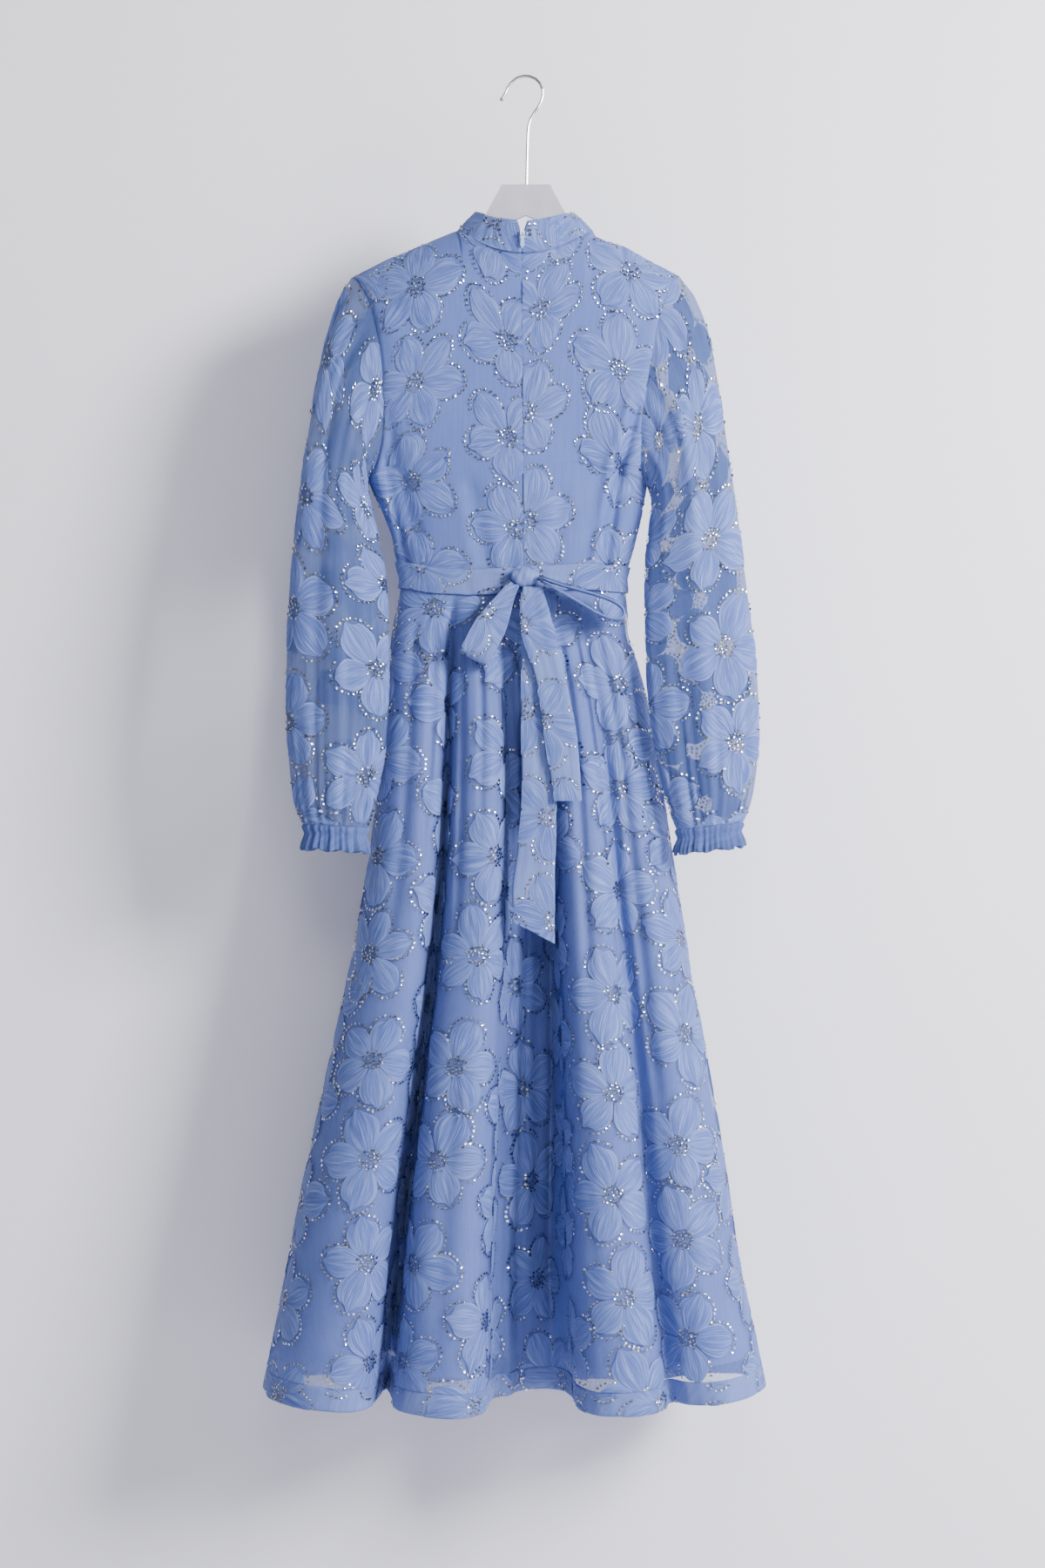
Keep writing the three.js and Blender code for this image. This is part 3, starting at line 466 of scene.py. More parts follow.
def petal_cloth(name, colour, deep, pale):
    """Gathered petal: streaks that run along the petal, from noise stretched along it, a
    paler rolled rim, and each petal a little lighter or darker than the next. The streaks are
    also the bump, so their colour is painted shade in the gathers' hollows and painted
    highlight on their crests."""
    material, tree, shader, out = new_material(name)
    place = cloth_place(tree)
    fine = noise(tree, stretched(tree, place, (0.85, 0.035, 1)), 1.0, 4, 0.6)
    broad = noise(tree, stretched(tree, place, (0.28, 0.02, 1)), 1.0, 2)
    streak = weighed(tree, fine, broad, 0.62)
    # Painted shade and highlight: the same streak that is the bump below picks the deep colour in
    # its hollows and the pale one on its crests.
    body = ramp(tree, streak, [(0.4, deep), (0.5, colour), (0.6, pale)])
    tone = mixed_colour(tree, attribute(tree, "tone"), body, pale)
    feed(tree, shader, Base_Color=tone, Roughness=0.72, Sheen_Weight=0.2,
         Sheen_Tint=SHEEN_TINT, Sheen_Roughness=0.35, Specular_IOR_Level=0.35)
    feed(tree, out, Surface=lit_through(tree, shader.outputs[0], tone, 0.25))
    bumped(tree, shader, streak, 0.0016, 0.9)
    return material


def sequin_metal(name, colour, roughness):
    """Polished metal with a painted reflection: each sequin's tone picks a dull, a middle or a
    full copy of the metal's colour, standing in for what it mirrors as it faces its own way,
    most often something dim."""
    material, tree, shader, _ = new_material(name)
    # Painted reflection: dull and middle copies of the metal's colour for sequins that would
    # mirror something dim.
    dark, middle = (tuple(share * c for c in colour[:3]) + (1.0,) for share in (0.25, 0.5))
    tone = ramp(tree, attribute(tree, "tone"), [(0.15, dark), (0.72, middle), (0.95, colour)])
    feed(tree, shader, Base_Color=tone, Metallic=1.0, Roughness=roughness)
    return material


SKIRT_NET = net_cloth("skirt_net", linear(122, 141, 204), linear(108, 128, 191), 0.5)
SLEEVE_NET = net_cloth("sleeve_net", linear(102, 123, 182), linear(90, 111, 170), 0.6)
BODICE_NET = net_cloth("bodice_net", linear(108, 129, 198), linear(99, 120, 190), 1.0, 0.7)
DOUBLE_CLOTH = net_cloth("double_cloth", linear(132, 151, 213), linear(112, 132, 196), 1.0)
CUFF_CLOTH = net_cloth("cuff_cloth", linear(100, 120, 180), linear(76, 96, 158), 1.0)
LINING_CLOTH = net_cloth("lining_cloth", linear(124, 144, 212), linear(118, 138, 206), 1.0, 0.5)
PETAL = petal_cloth("petal_cloth", linear(99, 121, 191), linear(80, 102, 174),
                    linear(136, 156, 216))
SEQUIN = sequin_metal("sequin", (0.88, 0.90, 0.95, 1.0), 0.16)

# %% [markdown]
# ## Cloth panels
#
# Each panel keeps its grid of points, the length along each row and the length down. With
# those, a place on the flat cloth can be turned into a place in space, and the petals and
# sequins can be laid on the panel wherever it bends.


# %% Cloth panels
# What lies on a panel is raised this far off it, in millimetres. A place this near to the
# panel's first or last column, in columns, counts as past it.
CLEARANCE, AT_EDGE, BISECTIONS = 0.35, 0.001, 18


class Panel:
    """A grid of points with its outward normals and its own flat measure."""

    def __init__(self, name, grid, centre_column, fade_top=0.0, fade_bottom=0.0):
        self.name, self.grid = name, grid
        self.normals = grid_normals(grid)
        self.along, down = flat_measure(grid, centre_column)
        self.down = down[:, 0]
        self.fade_top, self.fade_bottom = fade_top, fade_bottom

    def row_at(self, t):
        """The fractional row at a length down."""
        return np.interp(t, self.down, np.arange(len(self.down)))

    def column_at(self, row, s):
        """The fractional column at a length along, by bisection on the row's lengths."""
        low, high = np.zeros(row.shape), np.full(row.shape, self.along.shape[1] - 1.0)
        for _ in range(BISECTIONS):
            middle = (low + high) / 2
            here = self.along_at(row, middle)
            low, high = np.where(here < s, middle, low), np.where(here < s, high, middle)
        return (low + high) / 2

    def along_at(self, row, column):
        """The length along at a fractional row and column."""
        return self.read(self.along[..., None], row, column)[..., 0]

    @staticmethod
    def read(values, row, column):
        """A bilinear reading of a grid of values."""
        rows, columns = values.shape[:2]
        r0 = np.clip(np.floor(row).astype(int), 0, rows - 2)
        c0 = np.clip(np.floor(column).astype(int), 0, columns - 2)
        f, g = (row - r0)[..., None], (column - c0)[..., None]
        return ((1 - f) * ((1 - g) * values[r0, c0] + g * values[r0, c0 + 1])
                + f * ((1 - g) * values[r0 + 1, c0] + g * values[r0 + 1, c0 + 1]))

    def lay(self, centre, s, t, height, half):
        """Points at lengths s and t from a centre on the cloth, raised off it by height,
        which fades out towards the top and bottom. Places past the panel's edges are moved
        to the edge and marked as outside. So are those past the middle line from the half
        asked for: -1 is the left half, 1 the right one and 0 the whole panel."""
        row0 = self.row_at(centre[1])
        start = self.column_at(np.atleast_1d(row0), np.atleast_1d(centre[0]))[0]
        down = centre[1] + t
        row = self.row_at(down)
        reach = self.along_at(row, np.full(row.shape, start)) + s
        column = self.column_at(row, reach)
        last = self.along.shape[1] - 1
        outside = ((down < 0) | (down > self.down[-1]) | (column < AT_EDGE)
                   | (column > last - AT_EDGE) | (half * reach < 0))
        fade = np.ones(row.shape)
        if self.fade_top:
            fade *= smooth_step(down, 0, self.fade_top)
        if self.fade_bottom:
            fade *= smooth_step(self.down[-1] - down, 0, self.fade_bottom)
        points = self.read(self.grid, row, column)
        normals = self.read(self.normals, row, column)
        normals /= np.maximum(np.linalg.norm(normals, axis=-1, keepdims=True), 1e-9)
        return points + normals * (CLEARANCE + height * fade)[..., None], outside

    def shell(self, material, slot, node):
        """The panel as a mesh in the node's place, with its flat measure as UV."""
        rows, columns = self.grid.shape[:2]
        uv = np.stack([self.along, np.repeat(self.down[:, None], columns, axis=1)], axis=-1)
        piece = make_piece(self.name, self.grid.reshape(-1, 3), grid_faces(rows, columns),
                           uv.reshape(-1, 2))
        return put_on(piece, material, [node])

    def area(self):
        """The panel's area in square metres, from its quads' two triangles."""
        g = self.grid
        a = np.cross(g[1:, :-1] - g[:-1, :-1], g[:-1, 1:] - g[:-1, :-1])
        b = np.cross(g[1:, :-1] - g[1:, 1:], g[:-1, 1:] - g[1:, 1:])
        return 0.5e-6 * (np.linalg.norm(a, axis=-1).sum() + np.linalg.norm(b, axis=-1).sum())

    def flat_size(self):
        """The rectangle, in metres, that the flat panel is cut from, and its own area."""
        width = float((self.along[:, -1] - self.along[:, 0]).max()) * MM
        return (round(width, 3), round(float(self.down[-1]) * MM, 3)), float(self.area())


# %% [markdown]
# ## Skirt, lining and hem
#
# The skirt's back and front are two panels on the form above, with rows closer together
# near the waist, where the gathers start. The lining is the same ring moved in by a cloth
# and a gap, and it ends a little above the hem band. The hem band is one more ring, turned
# over at its lower edge.

# %% Skirt, lining and hem
BACK_COLUMNS, FRONT_COLUMNS, SKIRT_TOP, CLOSE_ROWS_TO = 420, 190, -545.2, -700
hem_back = catmull_rom(HEM_BACK, BACK_COLUMNS)
hem_front = catmull_rom(HEM_FRONT, FRONT_COLUMNS)
skirt_heights = np.concatenate([np.linspace(SKIRT_TOP, CLOSE_ROWS_TO, 24, endpoint=False),
                                np.linspace(CLOSE_ROWS_TO, HEM_Z + HEM_BAND, 76)])
skirt_back = Panel("skirt_back_net", skirt_surface(hem_back, -1, skirt_heights),
                   BACK_COLUMNS // 2, fade_top=45)
skirt_front = Panel("skirt_front_net", skirt_surface(hem_front, 1, skirt_heights),
                    FRONT_COLUMNS // 2, fade_top=45)
skirt_back_shell = skirt_back.shell(SKIRT_NET, "sheer_cloth", "skirt_back")
skirt_front_shell = skirt_front.shell(SKIRT_NET, "sheer_cloth", "skirt_front")
print("skirt areas:", round(skirt_back.area(), 3), round(skirt_front.area(), 3))


def ring_grid(heights):
    """The skirt's back and front rows joined to a closed ring."""
    back = skirt_surface(hem_back, -1, heights)
    front = skirt_surface(hem_front, 1, heights)
    return np.concatenate([back[:, :-1], front[:, :-1]], axis=1)


def closed_piece(name, grid, material, node):
    """A closed tube of cloth from rings of points, its last column laid on its first, and
    the tube's flat width and length in metres."""
    rows, columns = grid.shape[:2]
    wrapped = np.concatenate([grid, grid[:, :1]], axis=1)
    along, down = flat_measure(wrapped, 0)
    uv = np.stack([along, down], axis=-1)
    piece = make_piece(name, wrapped.reshape(-1, 3), grid_faces(rows, columns + 1),
                       uv.reshape(-1, 2))
    put_on(piece, material, [node])
    return piece, float(along[:, -1].max()) * MM, float(down[-1, 0]) * MM


CLOTH, LAYER, LINING_SHORTER = 1.6, 1.0, 42.0
lining_heights = np.linspace(SKIRT_TOP, HEM_Z + LINING_SHORTER, 70)
lining_grid = ring_grid(lining_heights)
lining_grid = lining_grid - (CLOTH + LAYER) * grid_normals(lining_grid, closed=True)
lining_grid[0, :, 2] = lining_heights[0]
lining, lining_width, lining_length = closed_piece(
    "skirt_lining_cloth", lining_grid[:, ::2], LINING_CLOTH, "skirt_lining")

# The hem band is rounded over its lower edge: out, round and back up inside. A row is the
# drop from the band's top and how far out of the skirt's surface it lies.
TURN = np.array([[0.0, 0.25], [0.7, 0.6], [1.5, 0.8], [3.0, 0.9], [9.0, 0.8], [16.0, 0.9],
                 [22.0, 0.7], [24.4, 0.3], [25.0, -0.5], [24.4, -1.3], [22.0, -1.7],
                 [3.0, -1.7], [0.0, -1.3]])
hem_heights = HEM_Z + HEM_BAND - TURN[:, 0]
hem_grid = ring_grid(hem_heights)
hem_grid = hem_grid + TURN[:, 1][:, None, None] * grid_normals(ring_grid(
    np.linspace(HEM_Z + HEM_BAND, HEM_Z, len(TURN))), closed=True)
hem_column = np.arange(hem_grid.shape[1])
ripple = 0.5 * np.sin(hem_column * 0.9) * np.sin(hem_column * 0.23)
hem_grid[1:8, :, 1] += ripple * 0.7
hem, hem_width, hem_length = closed_piece("hem_band_cloth", hem_grid, DOUBLE_CLOTH,
                                          "hem_band")
print("lining and hem, wide:", round(lining_width, 3), round(hem_width, 3))

# %% [markdown]
# ## Sleeves
#
# A sleeve is one piece of net sewn into a tube. It is full in the middle and gathered at
# the armhole and at the cuff. Each ring of the tube is an oval between an outer and an inner
# point, and soft lengthwise waves are added that are strongest where the cloth is gathered.

# %% Sleeves
SLEEVE_RINGS = {  # outer x, outer z, inner x, inner z, y, half depth, bow
    -1: [(-189, -217.6, -172, -430, 0, 30, 27), (-201, -236, -176, -437, 0, 33, 20),
         (-214, -272, -175, -447, -2, 35, 12), (-226, -330, -170, -463, -7, 34, 5),
         (-236, -400, -162, -490, -16, 31, 0), (-244, -470, -154, -525, -26, 28, 0),
         (-250, -545, -149, -575, -34, 26, 0), (-253, -640, -147, -650, -39, 24, 0),
         (-251, -720, -150, -722, -40, 24, 0), (-246, -772, -159, -774, -40, 22, 0),
         (-238, -808, -168, -812, -40, 17, 0)],
    1: [(166.5, -216, 131, -438, 0, 30, 18), (180, -236, 135, -445, 0, 33, 14),
        (195, -275, 137, -454, -2, 35, 8), (206, -335, 137, -468, -6, 34, 3),
        (215, -400, 134, -492, -12, 31, 0), (225, -468, 130, -524, -19, 28, 0),
        (234, -545, 129, -576, -26, 26, 0), (245, -640, 131, -655, -31, 24, 0),
        (247, -718, 139, -728, -34, 24, 0), (241, -774, 151, -780, -35, 22, 0),
        (232, -806, 161, -814, -35, 17, 0)],
}
SLEEVE_FOLDS = [  # waves round the tube, phase, height, and how gathered it is: top, middle, end
    (5, 0.4, 2.3, 0.5, 1.0, 0.6), (9, 1.9, 1.2, 0.8, 0.9, 1.3), (17, 0.2, 0.7, 1.8, 0.25, 2.6),
    (26, 2.2, 0.55, 1.4, 0.0, 3.0),
]


def sleeve_points(ring, angle, facing):
    """Points of a sleeve's oval: x and z run from the outer to the inner point as half a
    cosine, y as a sine, and the bow moves the sides towards the body."""
    out_x, out_z, in_x, in_z, y, half, bow = np.moveaxis(ring, -1, 0)
    lean = (1 + np.cos(angle)) / 2
    x = in_x + (out_x - in_x) * lean - facing * bow * np.abs(np.sin(angle))
    return np.stack([x, y - half * np.sin(angle), in_z + (out_z - in_z) * lean], axis=-1)


def sleeve_surface(facing, rows, columns, seed):
    """The whole sleeve, with its seam along the inner side. Its waves stand off the oval
    along the line from the ring's middle."""
    rings = catmull_rom(SLEEVE_RINGS[facing], rows)[:, None, :]
    turn = np.linspace(-math.pi, math.pi, columns + 1)
    angle = (-facing * turn)[None]
    points = sleeve_points(rings, angle, facing)
    middle = sleeve_points(rings, np.array([[0.0]]), facing) / 2 \
        + sleeve_points(rings, np.array([[math.pi]]), facing) / 2
    middle = np.concatenate([middle[..., :2] + 0 * points[..., :2], points[..., 2:]], axis=-1)
    away = points - middle
    away /= np.maximum(np.linalg.norm(away, axis=-1, keepdims=True), 1e-6)
    v = np.linspace(0, 1, rows + 1)[:, None]
    wave = 0
    for count, phase, height, top, centre, end in SLEEVE_FOLDS:
        strength = np.interp(v, [0, 0.12, 0.5, 0.85, 1], [top, (top + centre) / 2, centre,
                                                         (centre + end) / 2, end])
        drift = 1.2 * np.sin(2.2 * v + seed + count)
        wave = wave + height * strength * np.sin(count * turn + phase + seed + drift)
    settled = smooth_step(v, 0, 0.04) * (1 - 0.6 * smooth_step(v, 0.97, 1))
    hold = 1 - 0.75 * np.exp(-((np.abs(turn) - math.pi) / 0.5) ** 2)
    points = points + away * (wave * settled * hold)[..., None]
    points[0, :, 0] += facing * 0.3
    return points


SIDES = ((-1, "left"), (1, "right"))
SLEEVE_ROWS, SLEEVE_COLUMNS = 150, 128
sleeves = {}
for facing, side in SIDES:
    grid = sleeve_surface(facing, SLEEVE_ROWS, SLEEVE_COLUMNS, 0.7 + facing)
    sleeves[side] = Panel(f"sleeve_{side}_net", grid, SLEEVE_COLUMNS // 2, fade_top=12,
                          fade_bottom=12)
    sleeves[side].piece = sleeves[side].shell(SLEEVE_NET, "sheer_cloth", f"sleeve_{side}")
    print(side, "sleeve:", sleeves[side].flat_size())

# %% [markdown]
# ## Cuffs
#
# A narrow elastic draws the sleeve in, and the cloth below it stands out as a small frill.
# The ring is the sleeve's last one; its radius falls and grows again, and waves of several
# sizes cross, as gathers never come evenly.

# %% Cuffs
CUFF_PROFILE = np.array([  # drop, growth, wave
    (0.3, 0.0, 0.2), (2.5, 0.8, 1.3), (5.0, 0.6, 1.5), (8.0, -0.8, 1.2), (11.0, -1.6, 1.0),
    (15.0, -0.6, 1.6), (20.0, 0.9, 2.3), (25.0, 1.6, 2.9), (27.0, 1.4, 3.1), (27.4, 0.8, 3.1),
    (26.0, 0.2, 2.8), (20.0, -0.8, 2.2)])
CUFF_COLUMNS = 240
drop, grow, waviness = CUFF_PROFILE.T
for facing, side in SIDES:
    last = np.array(SLEEVE_RINGS[facing][-1], dtype=float)
    turn = np.linspace(0, 2 * math.pi, CUFF_COLUMNS, endpoint=False)
    # Each ring is the sleeve's last one: outer x and z, inner x and z, y, half depth, bow.
    rings = last + np.stack([facing * grow, -drop, -facing * grow, -drop, 0 * drop, grow,
                             0 * drop], axis=-1)
    points = sleeve_points(rings[:, None], (-facing * turn)[None], facing)
    middle = points.mean(axis=1, keepdims=True)
    away = points - middle
    away[..., 2] = 0
    away /= np.linalg.norm(away, axis=-1, keepdims=True)
    wave = (0.45 * np.cos(13 * turn) + 0.4 * np.sin(22 * turn + 0.8)
            + 0.35 * np.sin(37 * turn + 2 * facing))
    grid = points + away * (waviness[:, None] * wave[None])[..., None]
    grid[..., 2] += 0.12 * (drop * 0.5)[:, None] * np.sin(9 * turn + facing)[None]
    closed_piece(f"cuff_{side}_cloth", grid, CUFF_CLOTH,
                               f"cuff_{side}")

# %% [markdown]
# ## Bodice
#
# The back is two panels that meet at the centre-back seam, the front is one. Their outline
# follows the neck, the shoulder seams, the armholes and the side seams, and the cloth turns
# over the shoulders. Soft troughs run where the real cloth is pulled: from the armholes
# towards the waist, and down both sides of the seam.

# %% Bodice
SHOULDER = {-1: [(-76, -167), (-115, -183), (-150, -198), (-189, -217.6)],
            1: [(73, -172), (108, -185), (141, -203), (166.5, -216)]}
SIDE_SEAM = {-1: [(-172, -430), (-162, -455), (-146, -495), (-134, -545)],
             1: [(131, -438), (127, -465), (120, -495), (107, -545)]}
BUST_DEPTH = {"back": 40.0, "front": 46.0}
SHOULDER_ROUND, COLLAR_X, WAIST_X, NECK_SHARE = 62.0, -4.0, -2.0, 5 / 11
ARMHOLE_STEPS, SIDE_ROWS, EDGE_REACH, EDGE_WIDTH = 10, 2, 24, 10
COLLAR_RINGS = [  # left, right, half, side z, back z, front z, opening (it spaces the rings)
    (-76, 73, 42, -168, -199, -214, 0.5), (-66, 63, 39, -158, -181, -196, 0.6),
    (-55, 51, 36, -147, -162, -178, 6)]
BODICE_BOTTOM = WAIST_Z + 0.15


def collar_points(ring, angle):
    """A collar ring: x as a sine from the centre line, y as a cosine, and z blended from the
    side's height to the back's or front's by the cosine squared."""
    left, right, half, side_z, back_z, front_z = np.moveaxis(ring[..., :6], -1, 0)
    sine, cosine = np.sin(angle), np.cos(angle)
    x = COLLAR_X + (np.where(sine > 0, left, right) - COLLAR_X) * np.abs(sine)
    end = np.where(cosine > 0, back_z, front_z)
    return np.stack([x, -half * cosine, side_z + (end - side_z) * cosine ** 2], axis=-1)


def bodice_edge(facing, row, front):
    """The side edge by row: the armhole's half ring, then the side seam below it."""
    turn = -1 if front else 1
    angle = turn * math.pi * np.minimum(row, ARMHOLE_STEPS) / ARMHOLE_STEPS
    ring = np.array(SLEEVE_RINGS[facing][0], dtype=float)
    armhole = sleeve_points(np.repeat(ring[None], len(row), axis=0), angle, facing)
    seam = np.array(SIDE_SEAM[facing], dtype=float)
    share = np.clip((row - ARMHOLE_STEPS) / SIDE_ROWS, 0, 1)
    z = seam[0, 1] + (BODICE_BOTTOM - seam[0, 1]) * share
    below = np.stack([np.interp(-z, -seam[:, 1], seam[:, 0]), 0 * z, z], axis=-1)
    return np.where((row <= ARMHOLE_STEPS)[:, None], armhole, below)


def bodice_top(share, front):
    """The top edge by share: the neckline's quarter ring, then the shoulder seam."""
    size = np.abs(share)
    quarter = (math.pi / 2) * np.minimum(size / NECK_SHARE, 1)
    turn = np.where(share < 0, 1, -1)
    neck = collar_points(np.repeat(np.array(COLLAR_RINGS[0], dtype=float)[None], len(share), 0),
                         turn * ((math.pi - quarter) if front else quarter))
    along = np.clip((size - NECK_SHARE) / (1 - NECK_SHARE), 0, 1) * 3
    left, right = (np.stack([np.interp(along, range(4), values)
                             for values in np.array(SHOULDER[facing], dtype=float).T])
                   for facing in (-1, 1))
    x, z = np.where(share < 0, left, right)
    shoulder = np.stack([x, 0 * x, z], axis=-1)
    return np.where((size <= NECK_SHARE)[:, None], neck, shoulder)


# Soft troughs on the back and front: start and end (x, z), width and depth.
BODICE_TROUGHS = {
    "back": [((-164, -330), (-118, -500), 9, 4.0), ((-156, -400), (-128, -535), 6, 5.0),
             ((126, -350), (101, -430), 6, 7.0), ((103, -415), (84, -540), 6, 7.0),
             ((134, -440), (70, -500), 10, 2.2), ((-60, -440), (-40, -540), 9, 2.0),
             ((40, -450), (30, -540), 8, 2.0), ((-150, -240), (-110, -290), 12, 1.8),
             ((140, -250), (100, -300), 12, 1.8), ((-20, -490), (-14, -545), 7, 1.8)],
    "front": [((-160, -420), (-70, -460), 10, 2.0), ((124, -420), (60, -455), 10, 2.0),
              ((-110, -480), (-90, -540), 8, 1.6), ((86, -480), (76, -540), 8, 1.6),
              ((-30, -490), (-26, -545), 8, 1.4), ((30, -500), (24, -545), 8, 1.4)],
}


def bodice_surface(first, last, columns, rows, front):
    """Points of a bodice panel: x runs to the edge by share, z from the top edge to the
    waist, and the depth is an oval that grows below the shoulder's turn. A trough is a bell
    curve across its line, with half as high a ridge beside it."""
    face = "front" if front else "back"
    share = np.linspace(first, last, columns + 1)
    upper = rows * 3 // 4
    row = np.concatenate([np.linspace(0, ARMHOLE_STEPS, upper, endpoint=False),
                          np.linspace(ARMHOLE_STEPS, ARMHOLE_STEPS + SIDE_ROWS,
                                      rows - upper + 1)])
    left, right = bodice_edge(-1, row, front), bodice_edge(1, row, front)
    top_left, top_right = left[0, 2], right[0, 2]
    down_left = (top_left - left[:, 2]) / (top_left - BODICE_BOTTOM)
    down_right = (top_right - right[:, 2]) / (top_right - BODICE_BOTTOM)
    s = share[None]
    down = down_left[:, None] + (down_right - down_left)[:, None] * (s + 1) / 2
    top = bodice_top(share, front)
    z = top[None, :, 2] + (BODICE_BOTTOM - top[None, :, 2]) * down
    edge_x = np.where(s < 0, left[:, :1], right[:, :1])
    edge_y = np.where(s < 0, left[:, 1:2], right[:, 1:2])
    centre_x = COLLAR_X + (WAIST_X - COLLAR_X) * down
    top_edge = np.where(share < 0, left[0, 0], right[0, 0])
    top_share = (top[:, 0] - COLLAR_X) / (top_edge - COLLAR_X)
    settle = smooth_step(down, 0, 0.45)
    x = centre_x + (edge_x - centre_x) * (top_share[None] + (np.abs(s) - top_share[None]) * settle)
    middle, half = (left[:, :1] + right[:, :1]) / 2, (right[:, :1] - left[:, :1]) / 2
    across = (x - middle) / half
    oval = np.sqrt(np.clip(1 - across ** 2, 0, 1))
    turned = 1 - np.minimum(1, (top[None, :, 2] - z) / SHOULDER_ROUND)
    over = np.sqrt(np.clip(1 - turned ** 2, 0, 1))
    bust = BUST_DEPTH[face]
    depth = bust + (WAIST_DEPTH - bust) * smooth_step(down, 0.35, 1)
    inside = np.clip((1 - np.abs(across)) / 0.08, 0, 1)
    # The side edges step where armhole and side seam meet, so the cloth inside them follows
    # a smoothed edge: each row is a mean of its neighbours, weighed by a bell curve.
    spread = np.exp(-(np.arange(-EDGE_REACH, EDGE_REACH + 1) / EDGE_WIDTH) ** 2)
    soft_edge = [np.convolve(np.pad(np.abs(edge[:, 1]), EDGE_REACH, mode="edge"),
                             spread / spread.sum(), mode="valid") for edge in (left, right)]
    soft_edge = np.where(s < 0, soft_edge[0][:, None], soft_edge[1][:, None])
    ease = smooth_step(1 - np.abs(across), 0.0, 0.16)
    side_y = np.abs(edge_y) * (1 - ease) + soft_edge * ease
    y = np.abs(top[None, :, 1]) * (1 - over) + over * depth * oval + side_y * (1 - oval)
    for (x0, z0), (x1, z1), width, deep in BODICE_TROUGHS[face]:
        length = math.hypot(x1 - x0, z1 - z0)
        u = ((x - x0) * (x1 - x0) + (z - z0) * (z1 - z0)) / length
        v = ((x - x0) * (z1 - z0) - (z - z0) * (x1 - x0)) / length
        body = smooth_step(u, -12, 14) * (1 - smooth_step(u, length - 14, length + 16))
        y = y - deep * inside * body * (np.exp(-(v / width) ** 2)
                                        - 0.5 * np.exp(-((v - 1.9 * width) / width) ** 2))
    y = np.maximum(y, 0.15)
    return np.stack([x, y if front else -y, z], axis=-1)


BODICE_PANELS = [  # node, first and last share of the width, columns, centre column
    ("bodice_back_left", -1, 0, 80, 60), ("bodice_back_right", 0, 1, 80, 20),
    ("bodice_front", -1, 1, 150, 75)]
BODICE_ROWS, SEAM_GAP = 150, 0.15
bodice = {}
for node, first, last, columns, centre in BODICE_PANELS:
    front = node == "bodice_front"
    grid = bodice_surface(first, last, columns, BODICE_ROWS, front)
    if front:
        grid = grid[:, ::-1]
    elif last == 0:
        grid[:, -1, 0] -= SEAM_GAP
    else:
        grid[:, 0, 0] += SEAM_GAP
    bodice[node] = Panel(node + "_cloth", grid, centre, fade_top=6, fade_bottom=40)
    bodice[node].piece = bodice[node].shell(BODICE_NET, "lined_cloth", node)
    print(node, bodice[node].flat_size())

# %% [markdown]
# ## Doubled cloth
#
# Collar, belt, loops and tails are strips folded double, so they have real thickness. A
# strip becomes a closed wall: its outer grid and the same grid moved in, which meet along
# the strip's edges, so that the edge looks rolled.


# %% Doubled cloth
DOUBLED = 2.2


def soft_wall(name, grid, node, closed=False):
    """A closed wall from an outer grid: the inner points lie one thickness behind the outer
    ones, both are drawn to the middle along the edges, and the edge points are shared."""
    normals = grid_normals(grid, closed)
    rows, columns = grid.shape[:2]
    j, i = np.meshgrid(np.arange(rows), np.arange(columns), indexing="ij")
    border = (j == 0) | (j == rows - 1)
    if not closed:
        border |= (i == 0) | (i == columns - 1)
    outer = np.where(border[..., None], grid - 0.5 * DOUBLED * normals, grid)
    inner = grid - DOUBLED * normals
    along, down = flat_measure(grid, columns // 2)
    uv = np.stack([along, down], axis=-1).reshape(-1, 2)
    count = rows * columns
    faces = grid_faces(rows, columns, closed)
    index = np.arange(count) + count
    index[border.ravel()] = np.flatnonzero(border.ravel())
    back = index[faces[:, ::-1]]
    points = np.concatenate([outer.reshape(-1, 3), inner.reshape(-1, 3)])
    both = np.concatenate([faces, back])
    used, flat = np.unique(both, return_inverse=True)
    piece = make_piece(name, points[used], flat.reshape(both.shape),
                       np.concatenate([uv, uv])[used])
    return put_on(piece, DOUBLE_CLOTH, [node])


# Collar: rings blended from the seam to the top edge, open at the centre back. The gap
# from the centre line is half a millimetre at the seam and opens as a power upwards.
COLLAR_STEPS, COLLAR_COLUMNS = 26, 241
collar_rings = catmull_rom(COLLAR_RINGS, COLLAR_STEPS)[::-1]
collar_gap = 0.5 + 5.5 * np.linspace(1, 0, COLLAR_STEPS + 1) ** 3.5
opening = np.arcsin(collar_gap / (collar_rings[:, 1] - COLLAR_X))[:, None]
spread = np.linspace(0, 1, COLLAR_COLUMNS)[None]
collar_angle = (2 * math.pi - opening) * (1 - spread) + opening * spread
collar_grid = collar_points(collar_rings[:, None, :], collar_angle)
collar_grid[-1, :, 2] += 1.1
rumple = (0.55 * np.sin(19 * collar_angle + 1.2) * np.sin(5 * collar_angle)
          + 0.4 * np.sin(33 * collar_angle))
rumple = rumple * np.sin(np.linspace(0, math.pi, COLLAR_STEPS + 1))[:, None]
collar_grid += rumple[..., None] * grid_normals(collar_grid)
collar = soft_wall("collar_cloth", collar_grid, "collar")
collar_panel = Panel("collar", collar_grid, COLLAR_COLUMNS // 2)
print("collar:", collar_panel.flat_size())

# %% [markdown]
# ## Belt and bow
#
# The belt is a doubled strip round the waist, tied in a bow at the back. It sags towards
# the knot, and is pulled into fine creases where the knot grips it. The loops are strips
# that leave the knot, bend over and come back, and the tails hang one over the other.

# %% Belt
BELT_HEIGHT, BELT_CLEAR = 28.0, 0.8
BELT_LINE = np.array([(-140, -538), (-100, -546), (-60, -550), (0, -546), (60, -543),
                      (112, -546)], dtype=float)
WAIST_LEFT, WAIST_RIGHT = EDGE_LEFT[0], EDGE_RIGHT[0]
BELT_COLUMNS, BELT_ROWS = 420, 21


